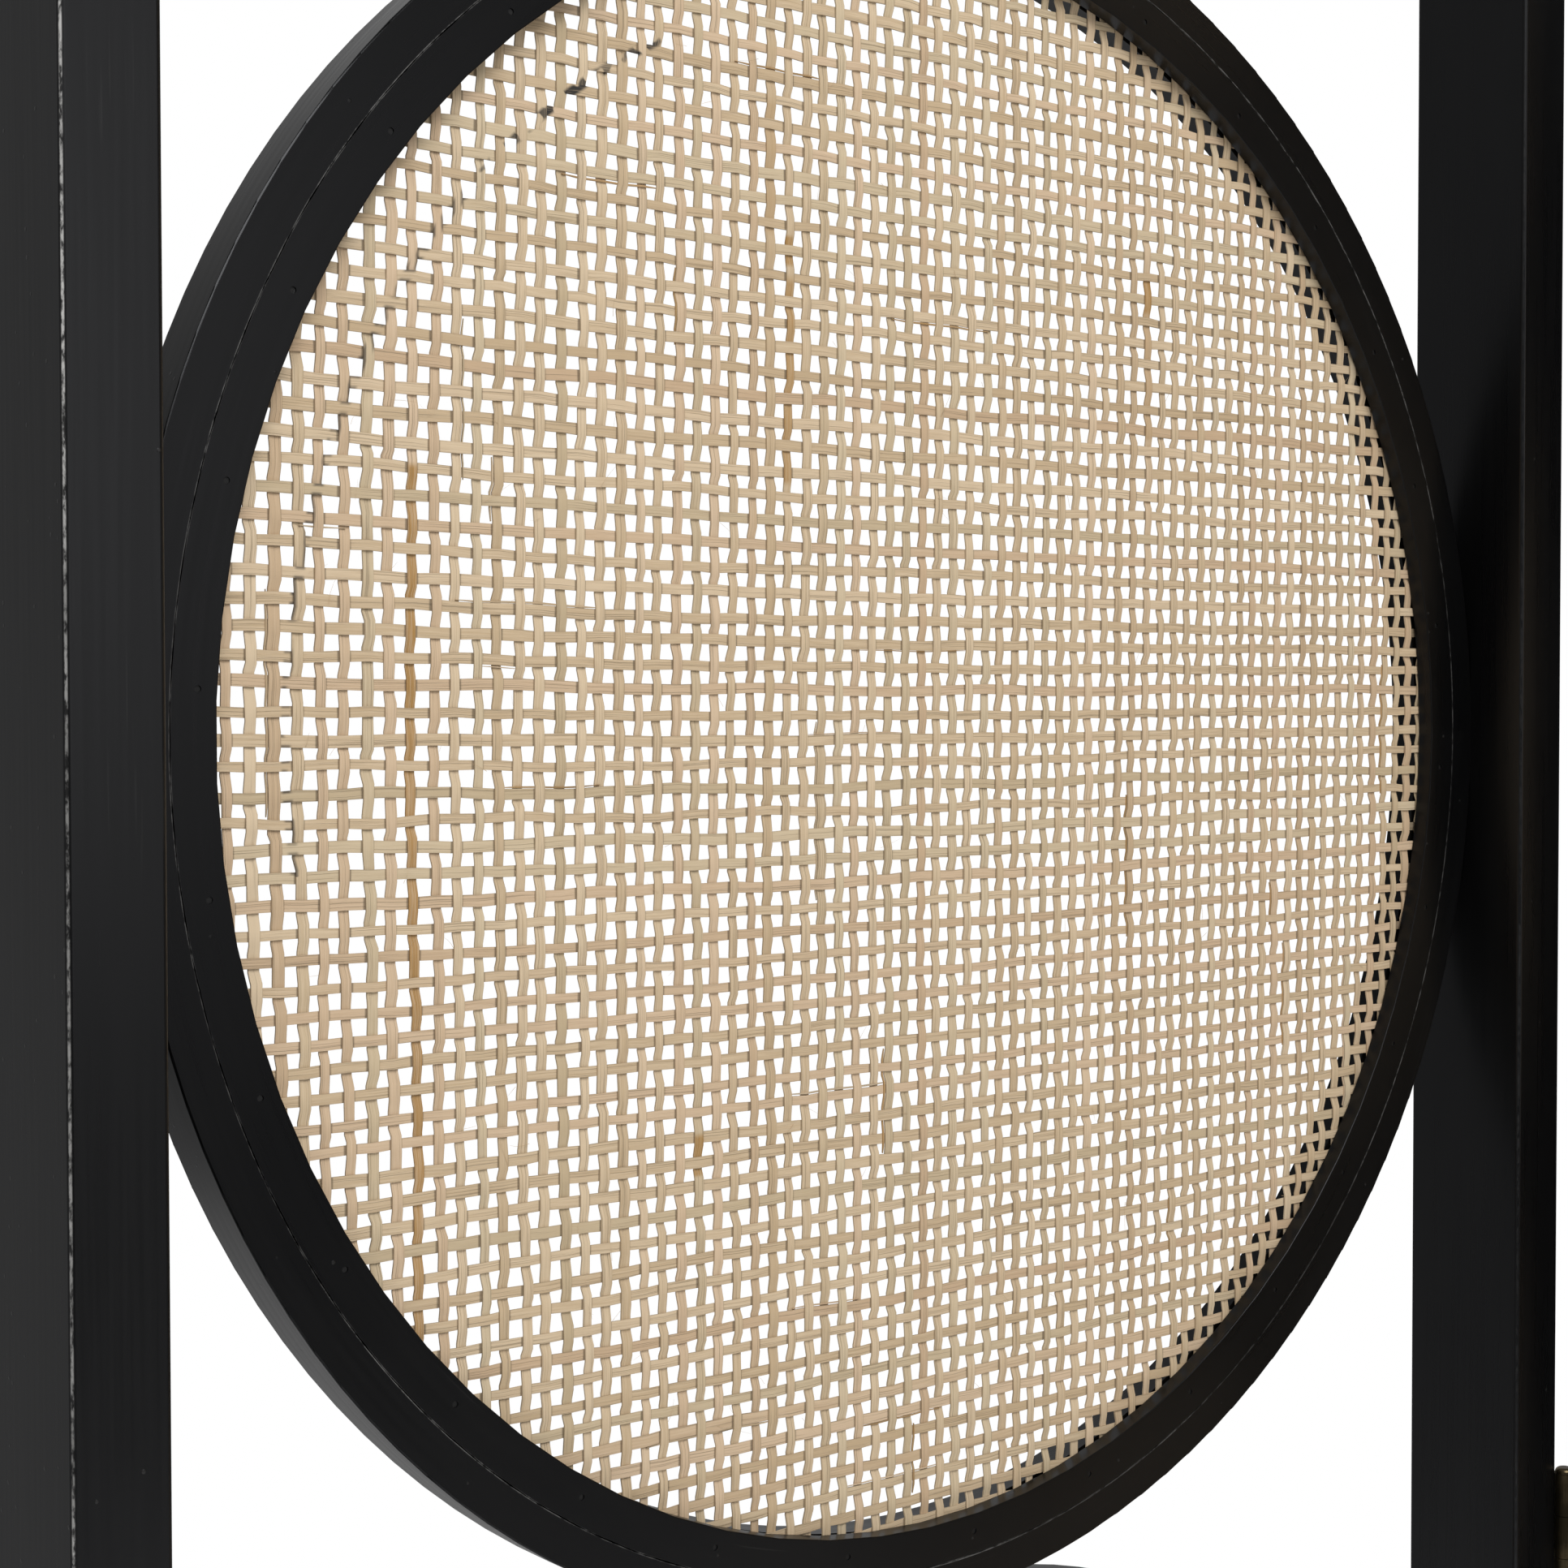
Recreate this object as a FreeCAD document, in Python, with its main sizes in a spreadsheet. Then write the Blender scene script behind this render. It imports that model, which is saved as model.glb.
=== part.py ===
import FreeCAD
import Part
import Sketcher
import os

# Folding partition screen of three panels. Each panel is a frame of two posts and two rails that
# holds a column of hoops. Each hoop holds a disc of woven cane behind a retaining ring, and brass
# butt hinges join the panels. A panel's own axes: X along it from its middle, Y from the front
# faces of its posts to the rear, Z up from the floor.

# Driving dimensions in millimetres
LENGTHS = {
    # Posts and rails
    "clear_width": 436.0,          # between the posts, and also the height that a hoop takes up
    "post_width": 20.5,
    "post_depth": 39.0,
    "rail_height": 20.0,
    "foot_height": 16.0,           # floor to the underside of the bottom rail
    "edge_round": 1.2,             # long edges of posts and rails
    # Hoops
    "hoop_recess": 18.0,           # from the front of the posts back to the front of the hoops
    "hoop_thickness": 14.5,        # front to rear
    "hoop_wall": 19.2,             # from a glue flat to the inner rim
    "flat_depth": 0.4,             # how far a glue flat is cut into the round rim
    "hoop_edge_round": 0.4,
    "rebate_width": 10.3,
    # Retaining rings
    "ring_thickness": 4.5,
    "ring_clearance": 0.15,        # all round in the rebate
    "ring_edge_round": 0.3,
    # Cane
    "cane_thickness": 1.5,
    "cane_grip": 3.4,              # how far the cane reaches under the retaining ring
    "cane_clearance": 0.1,
    # Brads
    "brad_diameter": 1.0,
    "brad_length": 12.0,
    "brad_head_diameter": 1.4,
    "brad_head_height": 0.5,
    "brad_sink": 0.3,              # head below the front of the ring
    "brad_inset": 4.3,             # from the ring's inner rim to the brads
    "brad_clearance": 0.03,
    # Dowels
    "dowel_diameter": 5.0,
    "dowel_length": 24.0,
    "dowel_chamfer": 0.8,
    "dowel_clearance": 0.05,
    "dowel_end_gap": 0.5,
    "rail_dowel_pitch": 16.0,      # between the two dowels in a rail's end
    # Hinges
    "hinge_length": 65.0,
    "hinge_drop": 9.0,             # from the level of the lowest hoop's middle down to a hinge's top
    "leaf_thickness": 1.8,
    "leaf_width": 22.0,
    "leaf_gap": 0.8,               # between the two leaves of a shut hinge
    "knuckle_diameter": 6.2,
    "knuckle_gap": 0.2,
    "knuckle_notch": 0.4,          # between a knuckle and the edge of the other leaf
    "pin_proud": 1.6,              # hinge axis beyond the face that folds inward
    "pin_diameter": 2.8,
    "pin_clearance": 0.05,
    "pin_head_diameter": 5.8,
    "pin_head_height": 1.6,
    "leaf_corner_round": 1.5,
    # Hinge screws
    "screw_diameter": 3.0,
    "screw_length": 14.0,
    "screw_tip": 3.0,
    "screw_head_diameter": 5.6,
    "screw_head_height": 1.3,
    "screw_sink": 0.1,             # head below the leaf
    "screw_clearance": 0.05,
    "screw_margin": 10.0,          # from a leaf's end to its first screw
    "screw_inset": 14.0,           # from a leaf's notched edge to its two end screws
    "screw_stagger": 6.0,          # the middle screw lies nearer to the knuckles by this much
    "slot_width": 0.8,
    "slot_depth": 0.5,
    # Room that a cutting tool needs beyond the stock
    "tool_overrun": 1.0,
}

# Angles in degrees
ANGLES = {
    "fold_angle": 35.0,            # each panel from the screen's line, as it stands
    "brad_start": 9.0,             # first brad from the level of the hoop's middle
}

# Counts
COUNTS = {
    "hoop_count": 4,
    "hinge_count": 3,
    "brad_count": 30,
    "knuckle_count": 5,
}

# Shares of another size
PIN_HEAD_ROUND_SHARE = 0.9         # of the head's height
STOCK_SHARE = 2                    # a glue flat's cutter is this many hoop walls long

ORIGIN = -1
H_AXIS = -1
V_AXIS = -2
START = 1
END = 2
QUARTERS = 4
FULL_TURN = 360
HALF_TURN = 180
ALONG_X = FreeCAD.Vector(1, 0, 0)
ALONG_Y = FreeCAD.Vector(0, 1, 0)
ALONG_Z = FreeCAD.Vector(0, 0, 1)


class Size:
    """A value of the sheet, or one worked out from it, with the expression that gives it."""

    def __init__(self, value, text):
        self.value = value
        self.text = text

    def __add__(self, other):
        return Size(self.value + value_of(other), f"({self.text} + {text_of(other)})")

    def __sub__(self, other):
        return Size(self.value - value_of(other), f"({self.text} - {text_of(other)})")

    def __mul__(self, other):
        return Size(self.value * value_of(other), f"({self.text} * {text_of(other)})")

    def __truediv__(self, other):
        return Size(self.value / value_of(other), f"({self.text} / {text_of(other)})")

    def __neg__(self):
        return Size(-self.value, f"(-1 * {self.text})")


def value_of(size):
    return size.value if isinstance(size, Size) else size


def text_of(size):
    return size.text if isinstance(size, Size) else str(size)


doc = FreeCAD.newDocument("PartitionScreen")
sheet = doc.addObject("Spreadsheet::Sheet", "Sizes")
for row, (alias, number) in enumerate({**LENGTHS, **ANGLES, **COUNTS}.items(), 1):
    sheet.set(f"A{row}", alias)
    sheet.set(f"B{row}", str(number))
    sheet.setAlias(f"B{row}", alias)
doc.recompute()


def size(alias):
    return Size(float(sheet.get(alias)), f"Sizes.{alias}")


def count(alias):
    return int(sheet.get(alias))


# Panel levels and places
HALF_CLEAR = size("clear_width") / 2
HALF_PANEL = HALF_CLEAR + size("post_width")
COLUMN_BOTTOM = size("foot_height") + size("rail_height")
COLUMN_TOP = COLUMN_BOTTOM + size("clear_width") * count("hoop_count")
PANEL_HEIGHT = COLUMN_TOP + size("rail_height")
FIRST_HOOP = COLUMN_BOTTOM + HALF_CLEAR

# Hoop, ring and cane, front to rear
HOOP_FRONT = size("hoop_recess")
HOOP_REAR = HOOP_FRONT + size("hoop_thickness")
CANE_FRONT = HOOP_FRONT + size("ring_thickness")
CANE_REAR = CANE_FRONT + size("cane_thickness")
REBATE_FLOOR = CANE_REAR + size("cane_clearance")
LIP_MIDDLE = (REBATE_FLOOR + HOOP_REAR) / 2

# Hoop, ring and cane, outward from the hoop's middle
HOOP_OUTER = HALF_CLEAR + size("flat_depth")
HOOP_INNER = HALF_CLEAR - size("hoop_wall")
REBATE_RADIUS = HOOP_INNER + size("rebate_width")
RING_OUTER = REBATE_RADIUS - size("ring_clearance")
CANE_RADIUS = HOOP_INNER + size("cane_grip")
BRAD_RADIUS = HOOP_INNER + size("brad_inset")

# Dowels
DOWEL_BORE = size("dowel_diameter") / 2 + size("dowel_clearance")
DOWEL_DEPTH = size("dowel_length") / 2 + size("dowel_end_gap")
RAIL_DOWEL_FRONT = (size("post_depth") - size("rail_dowel_pitch")) / 2

# Hinges: the axis lies in the middle of the gap between two posts of an open screen
AXIS_OUT = size("leaf_thickness") + size("leaf_gap") / 2
AXIS_X = HALF_PANEL + AXIS_OUT
KNUCKLE_RADIUS = size("knuckle_diameter") / 2
KNUCKLE_PITCH = size("hinge_length") / count("knuckle_count")
LEAF_EDGE = KNUCKLE_RADIUS + size("knuckle_notch")
HINGE_COUNT = count("hinge_count")
HINGE_PITCH = size("clear_width") * (count("hoop_count") - 1) / (HINGE_COUNT - 1)
FIRST_HINGE = FIRST_HOOP - size("hinge_drop") - size("hinge_length")
SCREW_SPAN = size("hinge_length") - size("screw_margin") * 2
SCREW_Y = LEAF_EDGE + size("screw_inset")
MIDDLE_SCREW_Y = SCREW_Y - size("screw_stagger")
SCREW_BORE = size("screw_diameter") / 2 + size("screw_clearance")


def bind(feature, **sizes):
    """Bind properties of a feature to the sheet."""
    for name, value in sizes.items():
        feature.setExpression(name, text_of(value))


def bind_place(feature, path, x, y, z):
    for letter, value in zip("xyz", (x, y, z)):
        feature.setExpression(f"{path}.Base.{letter}", text_of(value))


def new_body(label, placement):
    body = doc.addObject("PartDesign::Body", label)
    body.Label = label
    body.Placement = placement
    return body


def origin_feature(body, role):
    return next(item for item in body.Origin.OriginFeatures if item.Role == role)


def vector(point):
    return FreeCAD.Vector(value_of(point[0]), value_of(point[1]), 0)


def fix_corner(sketch, line, kind, value, axis):
    """Hold one coordinate of a line's start: on an axis, or at a distance from the origin."""
    if value_of(value) == 0:
        sketch.addConstraint(Sketcher.Constraint("PointOnObject", line, START, axis))
        return
    rule = Sketcher.Constraint(kind, ORIGIN, START, line, START, value_of(value))
    number = sketch.addConstraint(rule)
    sketch.setExpression(f"Constraints[{number}]", text_of(value))


def outline(body, name, plane, corners, shift=(0, 0, 0)):
    """A closed outline of straight lines on one of the body's own planes."""
    sketch = body.newObject("Sketcher::SketchObject", name)
    sketch.AttachmentSupport = [(origin_feature(body, plane), "")]
    sketch.MapMode = "FlatFace"
    bind_place(sketch, "AttachmentOffset", *shift)
    total = len(corners)
    for line in range(total):
        ends = vector(corners[line]), vector(corners[(line + 1) % total])
        sketch.addGeometry(Part.LineSegment(*ends), False)
    for line in range(total):
        sketch.addConstraint(Sketcher.Constraint("Coincident", line, END, (line + 1) % total, START))
    for line, (x, y) in enumerate(corners):
        fix_corner(sketch, line, "DistanceX", x, V_AXIS)
        fix_corner(sketch, line, "DistanceY", y, H_AXIS)
    doc.recompute()
    return sketch


def pad(body, sketch, length, both_ways=False):
    feature = body.newObject("PartDesign::Pad", f"{body.Name}_pad")
    feature.Profile = sketch
    bind(feature, Length=length)
    if both_ways:
        feature.SideType = "Symmetric"
    doc.recompute()
    return feature


def turn(body, sketch, axis):
    """Revolve an outline all round one of its sketch's axes."""
    feature = body.newObject("PartDesign::Revolution", f"{body.Name}_turned")
    feature.Profile = sketch
    feature.ReferenceAxis = (sketch, [axis])
    feature.Angle = FULL_TURN
    doc.recompute()
    return feature


def primitive(body, kind, name, place, direction, **sizes):
    """A box, cylinder or cone that is added or cut, with its own Z turned to a direction."""
    feature = body.newObject(f"PartDesign::{kind}", f"{body.Name}_{name}")
    feature.Placement = FreeCAD.Placement(FreeCAD.Vector(), FreeCAD.Rotation(ALONG_Z, direction))
    bind_place(feature, "Placement", *place)
    bind(feature, **sizes)
    doc.recompute()
    return feature


def row(body, originals, role, number, step, across=None):
    """Repeat features along an axis, and along a second one where a role, number and step follow."""
    feature = body.newObject("PartDesign::LinearPattern", f"{body.Name}_row")
    feature.Originals = originals
    feature.Direction = (origin_feature(body, role), [""])
    feature.Occurrences = number
    bind(feature, Length=step * (number - 1))
    if across:
        second_role, second_number, second_step = across
        feature.Direction2 = (origin_feature(body, second_role), [""])
        feature.Occurrences2 = second_number
        bind(feature, Length2=second_step * (second_number - 1))
    body.Tip = feature
    doc.recompute()
    return feature


def ring_of(body, originals, role, number):
    """Repeat features all round an axis."""
    feature = body.newObject("PartDesign::PolarPattern", f"{body.Name}_round")
    feature.Originals = originals
    feature.Axis = (origin_feature(body, role), [""])
    feature.Angle = FULL_TURN
    feature.Occurrences = number
    body.Tip = feature
    doc.recompute()
    return feature


def column_of(body, number, step):
    """Repeat the whole body upward as separate solids."""
    feature = body.newObject("PartDesign::LinearPattern", f"{body.Name}_column")
    feature.TransformMode = "Whole shape"
    feature.Direction = (origin_feature(body, "Z_Axis"), [""])
    feature.Occurrences = number
    bind(feature, Length=step * (number - 1))
    body.Tip = feature
    doc.recompute()
    return feature


def ease(body, wanted, radius):
    """Round those edges of the body that a test picks."""
    base = body.Tip
    edges = enumerate(base.Shape.Edges, 1)
    names = [f"Edge{number}" for number, edge in edges if wanted(edge)]
    feature = body.newObject("PartDesign::Fillet", f"{body.Name}_eased")
    feature.Base = (base, names)
    bind(feature, Radius=radius)
    doc.recompute()
    return feature


def runs_along(edge, direction):
    if not isinstance(edge.Curve, Part.Line):
        return False
    return abs(abs(edge.Curve.Direction.dot(direction)) - 1) < edge.Tolerance


def is_circle(edge, radius, height, axis):
    """Whether an edge is a circle of a radius whose middle lies at a height along an axis."""
    if not isinstance(edge.Curve, Part.Circle):
        return False
    off_radius = abs(edge.Curve.Radius - value_of(radius))
    off_height = abs(edge.Curve.Center.dot(axis) - value_of(height))
    return max(off_radius, off_height) < value_of(size("dowel_clearance"))


# Places of the three panels: the middle one stands on the origin, and each outer one starts from
# the hinge axis that it shares with it.

def turned(angle):
    return FreeCAD.Rotation(ALONG_Z, angle)


def axis_point(side, face):
    """Where a hinge axis lies in a panel: on its left or right, by its front or rear face."""
    proud = value_of(size("pin_proud"))
    depth = value_of(size("post_depth"))
    y = -proud if face == "front" else depth + proud
    return FreeCAD.Vector(side * AXIS_X.value, y, 0)


def panel_place(angle, held_point, target):
    rotation = turned(angle)
    return FreeCAD.Placement(target - rotation.multVec(held_point), rotation)


LEFT = -1
RIGHT = 1
FOLD = float(sheet.get("fold_angle"))
MIDDLE_POINT = FreeCAD.Vector(0, value_of(size("post_depth")) / 2, 0)
MIDDLE_PLACE = panel_place(-FOLD, MIDDLE_POINT, FreeCAD.Vector())
LEFT_AXIS = MIDDLE_PLACE.multVec(axis_point(LEFT, "front"))
RIGHT_AXIS = MIDDLE_PLACE.multVec(axis_point(RIGHT, "rear"))
PANELS = {
    "left_panel": panel_place(FOLD, axis_point(RIGHT, "front"), LEFT_AXIS),
    "middle_panel": MIDDLE_PLACE,
    "right_panel": panel_place(FOLD, axis_point(LEFT, "rear"), RIGHT_AXIS),
}

# Which posts carry hinge leaves, and by which face the hinge axis lies
HINGED_POSTS = {
    ("left_panel", RIGHT): "front",
    ("middle_panel", LEFT): "front",
    ("middle_panel", RIGHT): "rear",
    ("right_panel", LEFT): "rear",
}

bodies = []


def from_hinge_face(face, distance):
    """Depth in a panel of a point at a distance from the hinge axis, into the panel."""
    inward = distance - size("pin_proud")
    return inward if face == "front" else size("post_depth") - inward


def make_post(panel, side):
    name = "left_post" if side == LEFT else "right_post"
    body = new_body(f"{panel}_{name}", PANELS[panel])
    inner = HALF_CLEAR * side
    outer = HALF_PANEL * side
    depth = size("post_depth")
    corners = [(inner, 0), (outer, 0), (outer, depth), (inner, depth)]
    pad(body, outline(body, f"{body.Name}_section", "XY_Plane", corners), PANEL_HEIGHT)
    ease(body, lambda edge: True, size("edge_round"))
    outward = ALONG_X * side
    bore = {"Radius": DOWEL_BORE, "Height": DOWEL_DEPTH}
    cut = "SubtractiveCylinder"
    hoop_bore = primitive(body, cut, "hoop_bore", (inner, LIP_MIDDLE, FIRST_HOOP), outward, **bore)
    row(body, [hoop_bore], "Z_Axis", count("hoop_count"), size("clear_width"))
    rail_level = size("foot_height") + size("rail_height") / 2
    rail_place = (inner, RAIL_DOWEL_FRONT, rail_level)
    rail_bore = primitive(body, cut, "rail_bore", rail_place, outward, **bore)
    between_rails = COLUMN_TOP - size("foot_height")
    row(body, [rail_bore], "Y_Axis", 2, size("rail_dowel_pitch"), ("Z_Axis", 2, between_rails))
    face = HINGED_POSTS.get((panel, side))
    if face:
        drill_for_screws(body, face, outer, -outward)
    bodies.append(body)


def drill_for_screws(body, face, outer, inward):
    depth = size("screw_length") - size("leaf_thickness") + size("tool_overrun")
    pilot = {"Radius": SCREW_BORE, "Height": depth}
    hinges = ("Z_Axis", HINGE_COUNT, HINGE_PITCH)
    first_level = FIRST_HINGE + size("screw_margin")
    cut = "SubtractiveCylinder"
    end_place = (outer, from_hinge_face(face, SCREW_Y), first_level)
    end_bore = primitive(body, cut, "end_pilot", end_place, inward, **pilot)
    row(body, [end_bore], "Z_Axis", 2, SCREW_SPAN, hinges)
    middle_level = first_level + SCREW_SPAN / 2
    middle_place = (outer, from_hinge_face(face, MIDDLE_SCREW_Y), middle_level)
    middle_bore = primitive(body, cut, "middle_pilot", middle_place, inward, **pilot)
    row(body, [middle_bore], *hinges)


def make_rail(panel, name, bottom, hoop_side):
    body = new_body(f"{panel}_{name}", PANELS[panel])
    depth = size("post_depth")
    top = bottom + size("rail_height")
    corners = [(0, bottom), (depth, bottom), (depth, top), (0, top)]
    section = outline(body, f"{body.Name}_section", "YZ_Plane", corners)
    pad(body, section, size("clear_width"), both_ways=True)
    ease(body, lambda edge: runs_along(edge, ALONG_X), size("edge_round"))
    bore = {"Radius": DOWEL_BORE, "Height": DOWEL_DEPTH}
    cut = "SubtractiveCylinder"
    middle = (bottom + top) / 2
    for side in (LEFT, RIGHT):
        place = (HALF_CLEAR * side, RAIL_DOWEL_FRONT, middle)
        end_bore = primitive(body, cut, "end_bore", place, ALONG_X * -side, **bore)
        row(body, [end_bore], "Y_Axis", 2, size("rail_dowel_pitch"))
    level = top if hoop_side > 0 else bottom
    primitive(body, cut, "hoop_bore", (0, LIP_MIDDLE, level), ALONG_Z * -hoop_side, **bore)
    bodies.append(body)


def in_column(panel, number):
    """Place of a hoop's middle, counted from the bottom of its panel."""
    level = FIRST_HOOP + size("clear_width") * (number - 1)
    return PANELS[panel] * FreeCAD.Placement(FreeCAD.Vector(0, 0, level.value), FreeCAD.Rotation())


def brad_place(radius, depth):
    """Place of the first brad of a hoop, in the hoop's own axes."""
    start = "Sizes.brad_start * 1 deg"
    x = f"({text_of(radius)}) * cos({start})"
    z = f"({text_of(radius)}) * sin({start})"
    return x, depth, z


def make_hoop(panel, number):
    body = new_body(f"{panel}_hoop_{number}", in_column(panel, number))
    rear = HOOP_REAR
    corners = [
        (HOOP_INNER, rear),
        (HOOP_INNER, REBATE_FLOOR),
        (REBATE_RADIUS, REBATE_FLOOR),
        (REBATE_RADIUS, HOOP_FRONT),
        (HOOP_OUTER, HOOP_FRONT),
        (HOOP_OUTER, rear),
    ]
    turn(body, outline(body, f"{body.Name}_section", "XY_Plane", corners), "V_Axis")

    def outer_or_rear_edge(edge):
        front_rim = is_circle(edge, HOOP_OUTER, HOOP_FRONT, ALONG_Y)
        rear_rim = is_circle(edge, HOOP_OUTER, rear, ALONG_Y)
        inner_rim = is_circle(edge, HOOP_INNER, rear, ALONG_Y)
        return front_rim or rear_rim or inner_rim

    ease(body, outer_or_rear_edge, size("hoop_edge_round"))
    overrun = size("tool_overrun")
    stock = size("hoop_wall") * STOCK_SHARE
    flat = primitive(
        body, "SubtractiveBox", "flat", (HALF_CLEAR, HOOP_FRONT - overrun, -stock / 2), ALONG_Z,
        Length=size("flat_depth") + overrun,
        Width=size("hoop_thickness") + overrun * 2,
        Height=stock,
    )
    ring_of(body, [flat], "Y_Axis", QUARTERS)
    bore = primitive(
        body, "SubtractiveCylinder", "bore", (HALF_CLEAR, LIP_MIDDLE, 0), -ALONG_X,
        Radius=DOWEL_BORE,
        Height=DOWEL_DEPTH,
    )
    ring_of(body, [bore], "Y_Axis", QUARTERS)
    brad_end = HOOP_FRONT + size("brad_sink") + size("brad_length") + size("brad_clearance")
    brad_hole = primitive(
        body, "SubtractiveCylinder", "brad_hole", brad_place(BRAD_RADIUS, REBATE_FLOOR), ALONG_Y,
        Radius=size("brad_diameter") / 2 + size("brad_clearance"),
        Height=brad_end - REBATE_FLOOR,
    )
    ring_of(body, [brad_hole], "Y_Axis", count("brad_count"))
    bodies.append(body)


def make_cane(panel, number):
    body = new_body(f"{panel}_cane_{number}", in_column(panel, number))
    corners = [(0, CANE_FRONT), (CANE_RADIUS, CANE_FRONT), (CANE_RADIUS, CANE_REAR), (0, CANE_REAR)]
    turn(body, outline(body, f"{body.Name}_section", "XY_Plane", corners), "V_Axis")
    bodies.append(body)


def make_retaining_rings(panel):
    body = new_body(f"{panel}_retaining_rings", in_column(panel, 1))
    corners = [
        (HOOP_INNER, HOOP_FRONT),
        (RING_OUTER, HOOP_FRONT),
        (RING_OUTER, CANE_FRONT),
        (HOOP_INNER, CANE_FRONT),
    ]
    turn(body, outline(body, f"{body.Name}_section", "XY_Plane", corners), "V_Axis")
    radius = size("ring_edge_round")
    ease(body, lambda edge: is_circle(edge, HOOP_INNER, HOOP_FRONT, ALONG_Y), radius)
    hole = primitive(
        body, "SubtractiveCylinder", "brad_hole", brad_place(BRAD_RADIUS, HOOP_FRONT), ALONG_Y,
        Radius=size("brad_diameter") / 2 + size("brad_clearance"),
        Height=size("ring_thickness"),
    )
    sink = size("brad_sink") + size("brad_head_height")
    head_hole = primitive(
        body, "SubtractiveCylinder", "head_hole", brad_place(BRAD_RADIUS, HOOP_FRONT), ALONG_Y,
        Radius=size("brad_head_diameter") / 2 + size("brad_clearance"),
        Height=sink,
    )
    ring_of(body, [hole, head_hole], "Y_Axis", count("brad_count"))
    column_of(body, count("hoop_count"), size("clear_width"))
    bodies.append(body)


def make_brads(panel):
    body = new_body(f"{panel}_brads", in_column(panel, 1))
    front = HOOP_FRONT + size("brad_sink")
    primitive(
        body, "AdditiveCylinder", "head", brad_place(BRAD_RADIUS, front), ALONG_Y,
        Radius=size("brad_head_diameter") / 2,
        Height=size("brad_head_height"),
    )
    head = body.Tip
    shank = primitive(
        body, "AdditiveCylinder", "shank", brad_place(BRAD_RADIUS, front), ALONG_Y,
        Radius=size("brad_diameter") / 2,
        Height=size("brad_length"),
    )
    ring_of(body, [head, shank], "Y_Axis", count("brad_count"))
    column_of(body, count("hoop_count"), size("clear_width"))
    bodies.append(body)


def dowel_outline(body, name, place):
    """Half of a dowel's section along X, to be turned round its own middle line."""
    half = size("dowel_length") / 2
    radius = size("dowel_diameter") / 2
    chamfer = size("dowel_chamfer")
    corners = [
        (-half, 0),
        (half, 0),
        (half, radius - chamfer),
        (half - chamfer, radius),
        (chamfer - half, radius),
        (-half, radius - chamfer),
    ]
    return outline(body, f"{body.Name}_{name}", "XY_Plane", corners, place)


def upright_dowel_outline(body, name, place):
    """Half of an upright dowel's section."""
    half = size("dowel_length") / 2
    radius = size("dowel_diameter") / 2
    chamfer = size("dowel_chamfer")
    corners = [
        (0, -half),
        (radius - chamfer, -half),
        (radius, chamfer - half),
        (radius, half - chamfer),
        (radius - chamfer, half),
        (0, half),
    ]
    return outline(body, f"{body.Name}_{name}", "XZ_Plane", corners, place)


def make_dowels(panel):
    body = new_body(f"{panel}_dowels", PANELS[panel])
    across = ("X_Axis", 2, size("clear_width"))
    hoop_place = (-HALF_CLEAR, LIP_MIDDLE, FIRST_HOOP)
    hoop_dowel = turn(body, dowel_outline(body, "hoop_dowel", hoop_place), "H_Axis")
    row(body, [hoop_dowel], "Z_Axis", count("hoop_count"), size("clear_width"), across)
    rail_level = size("foot_height") + size("rail_height") / 2
    between_rails = COLUMN_TOP - size("foot_height")
    for step, y in enumerate((RAIL_DOWEL_FRONT, RAIL_DOWEL_FRONT + size("rail_dowel_pitch"))):
        place = (-HALF_CLEAR, y, rail_level)
        rail_dowel = turn(body, dowel_outline(body, f"rail_dowel_{step}", place), "H_Axis")
        row(body, [rail_dowel], "Z_Axis", 2, between_rails, across)
    # A sketch on the upright plane has its normal towards the front
    place = (0, COLUMN_BOTTOM, -LIP_MIDDLE)
    upright = turn(body, upright_dowel_outline(body, "upright_dowel", place), "V_Axis")
    row(body, [upright], "Z_Axis", count("hoop_count") + 1, size("clear_width"))
    bodies.append(body)


def hinge_place(panel, side, face):
    """Place of a panel's lowest hinge: its axis, with the leaves' own Y into the panel."""
    point = axis_point(side, face) + ALONG_Z * FIRST_HINGE.value
    rotation = turned(0 if face == "front" else HALF_TURN)
    return PANELS[panel] * FreeCAD.Placement(point, rotation)


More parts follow.
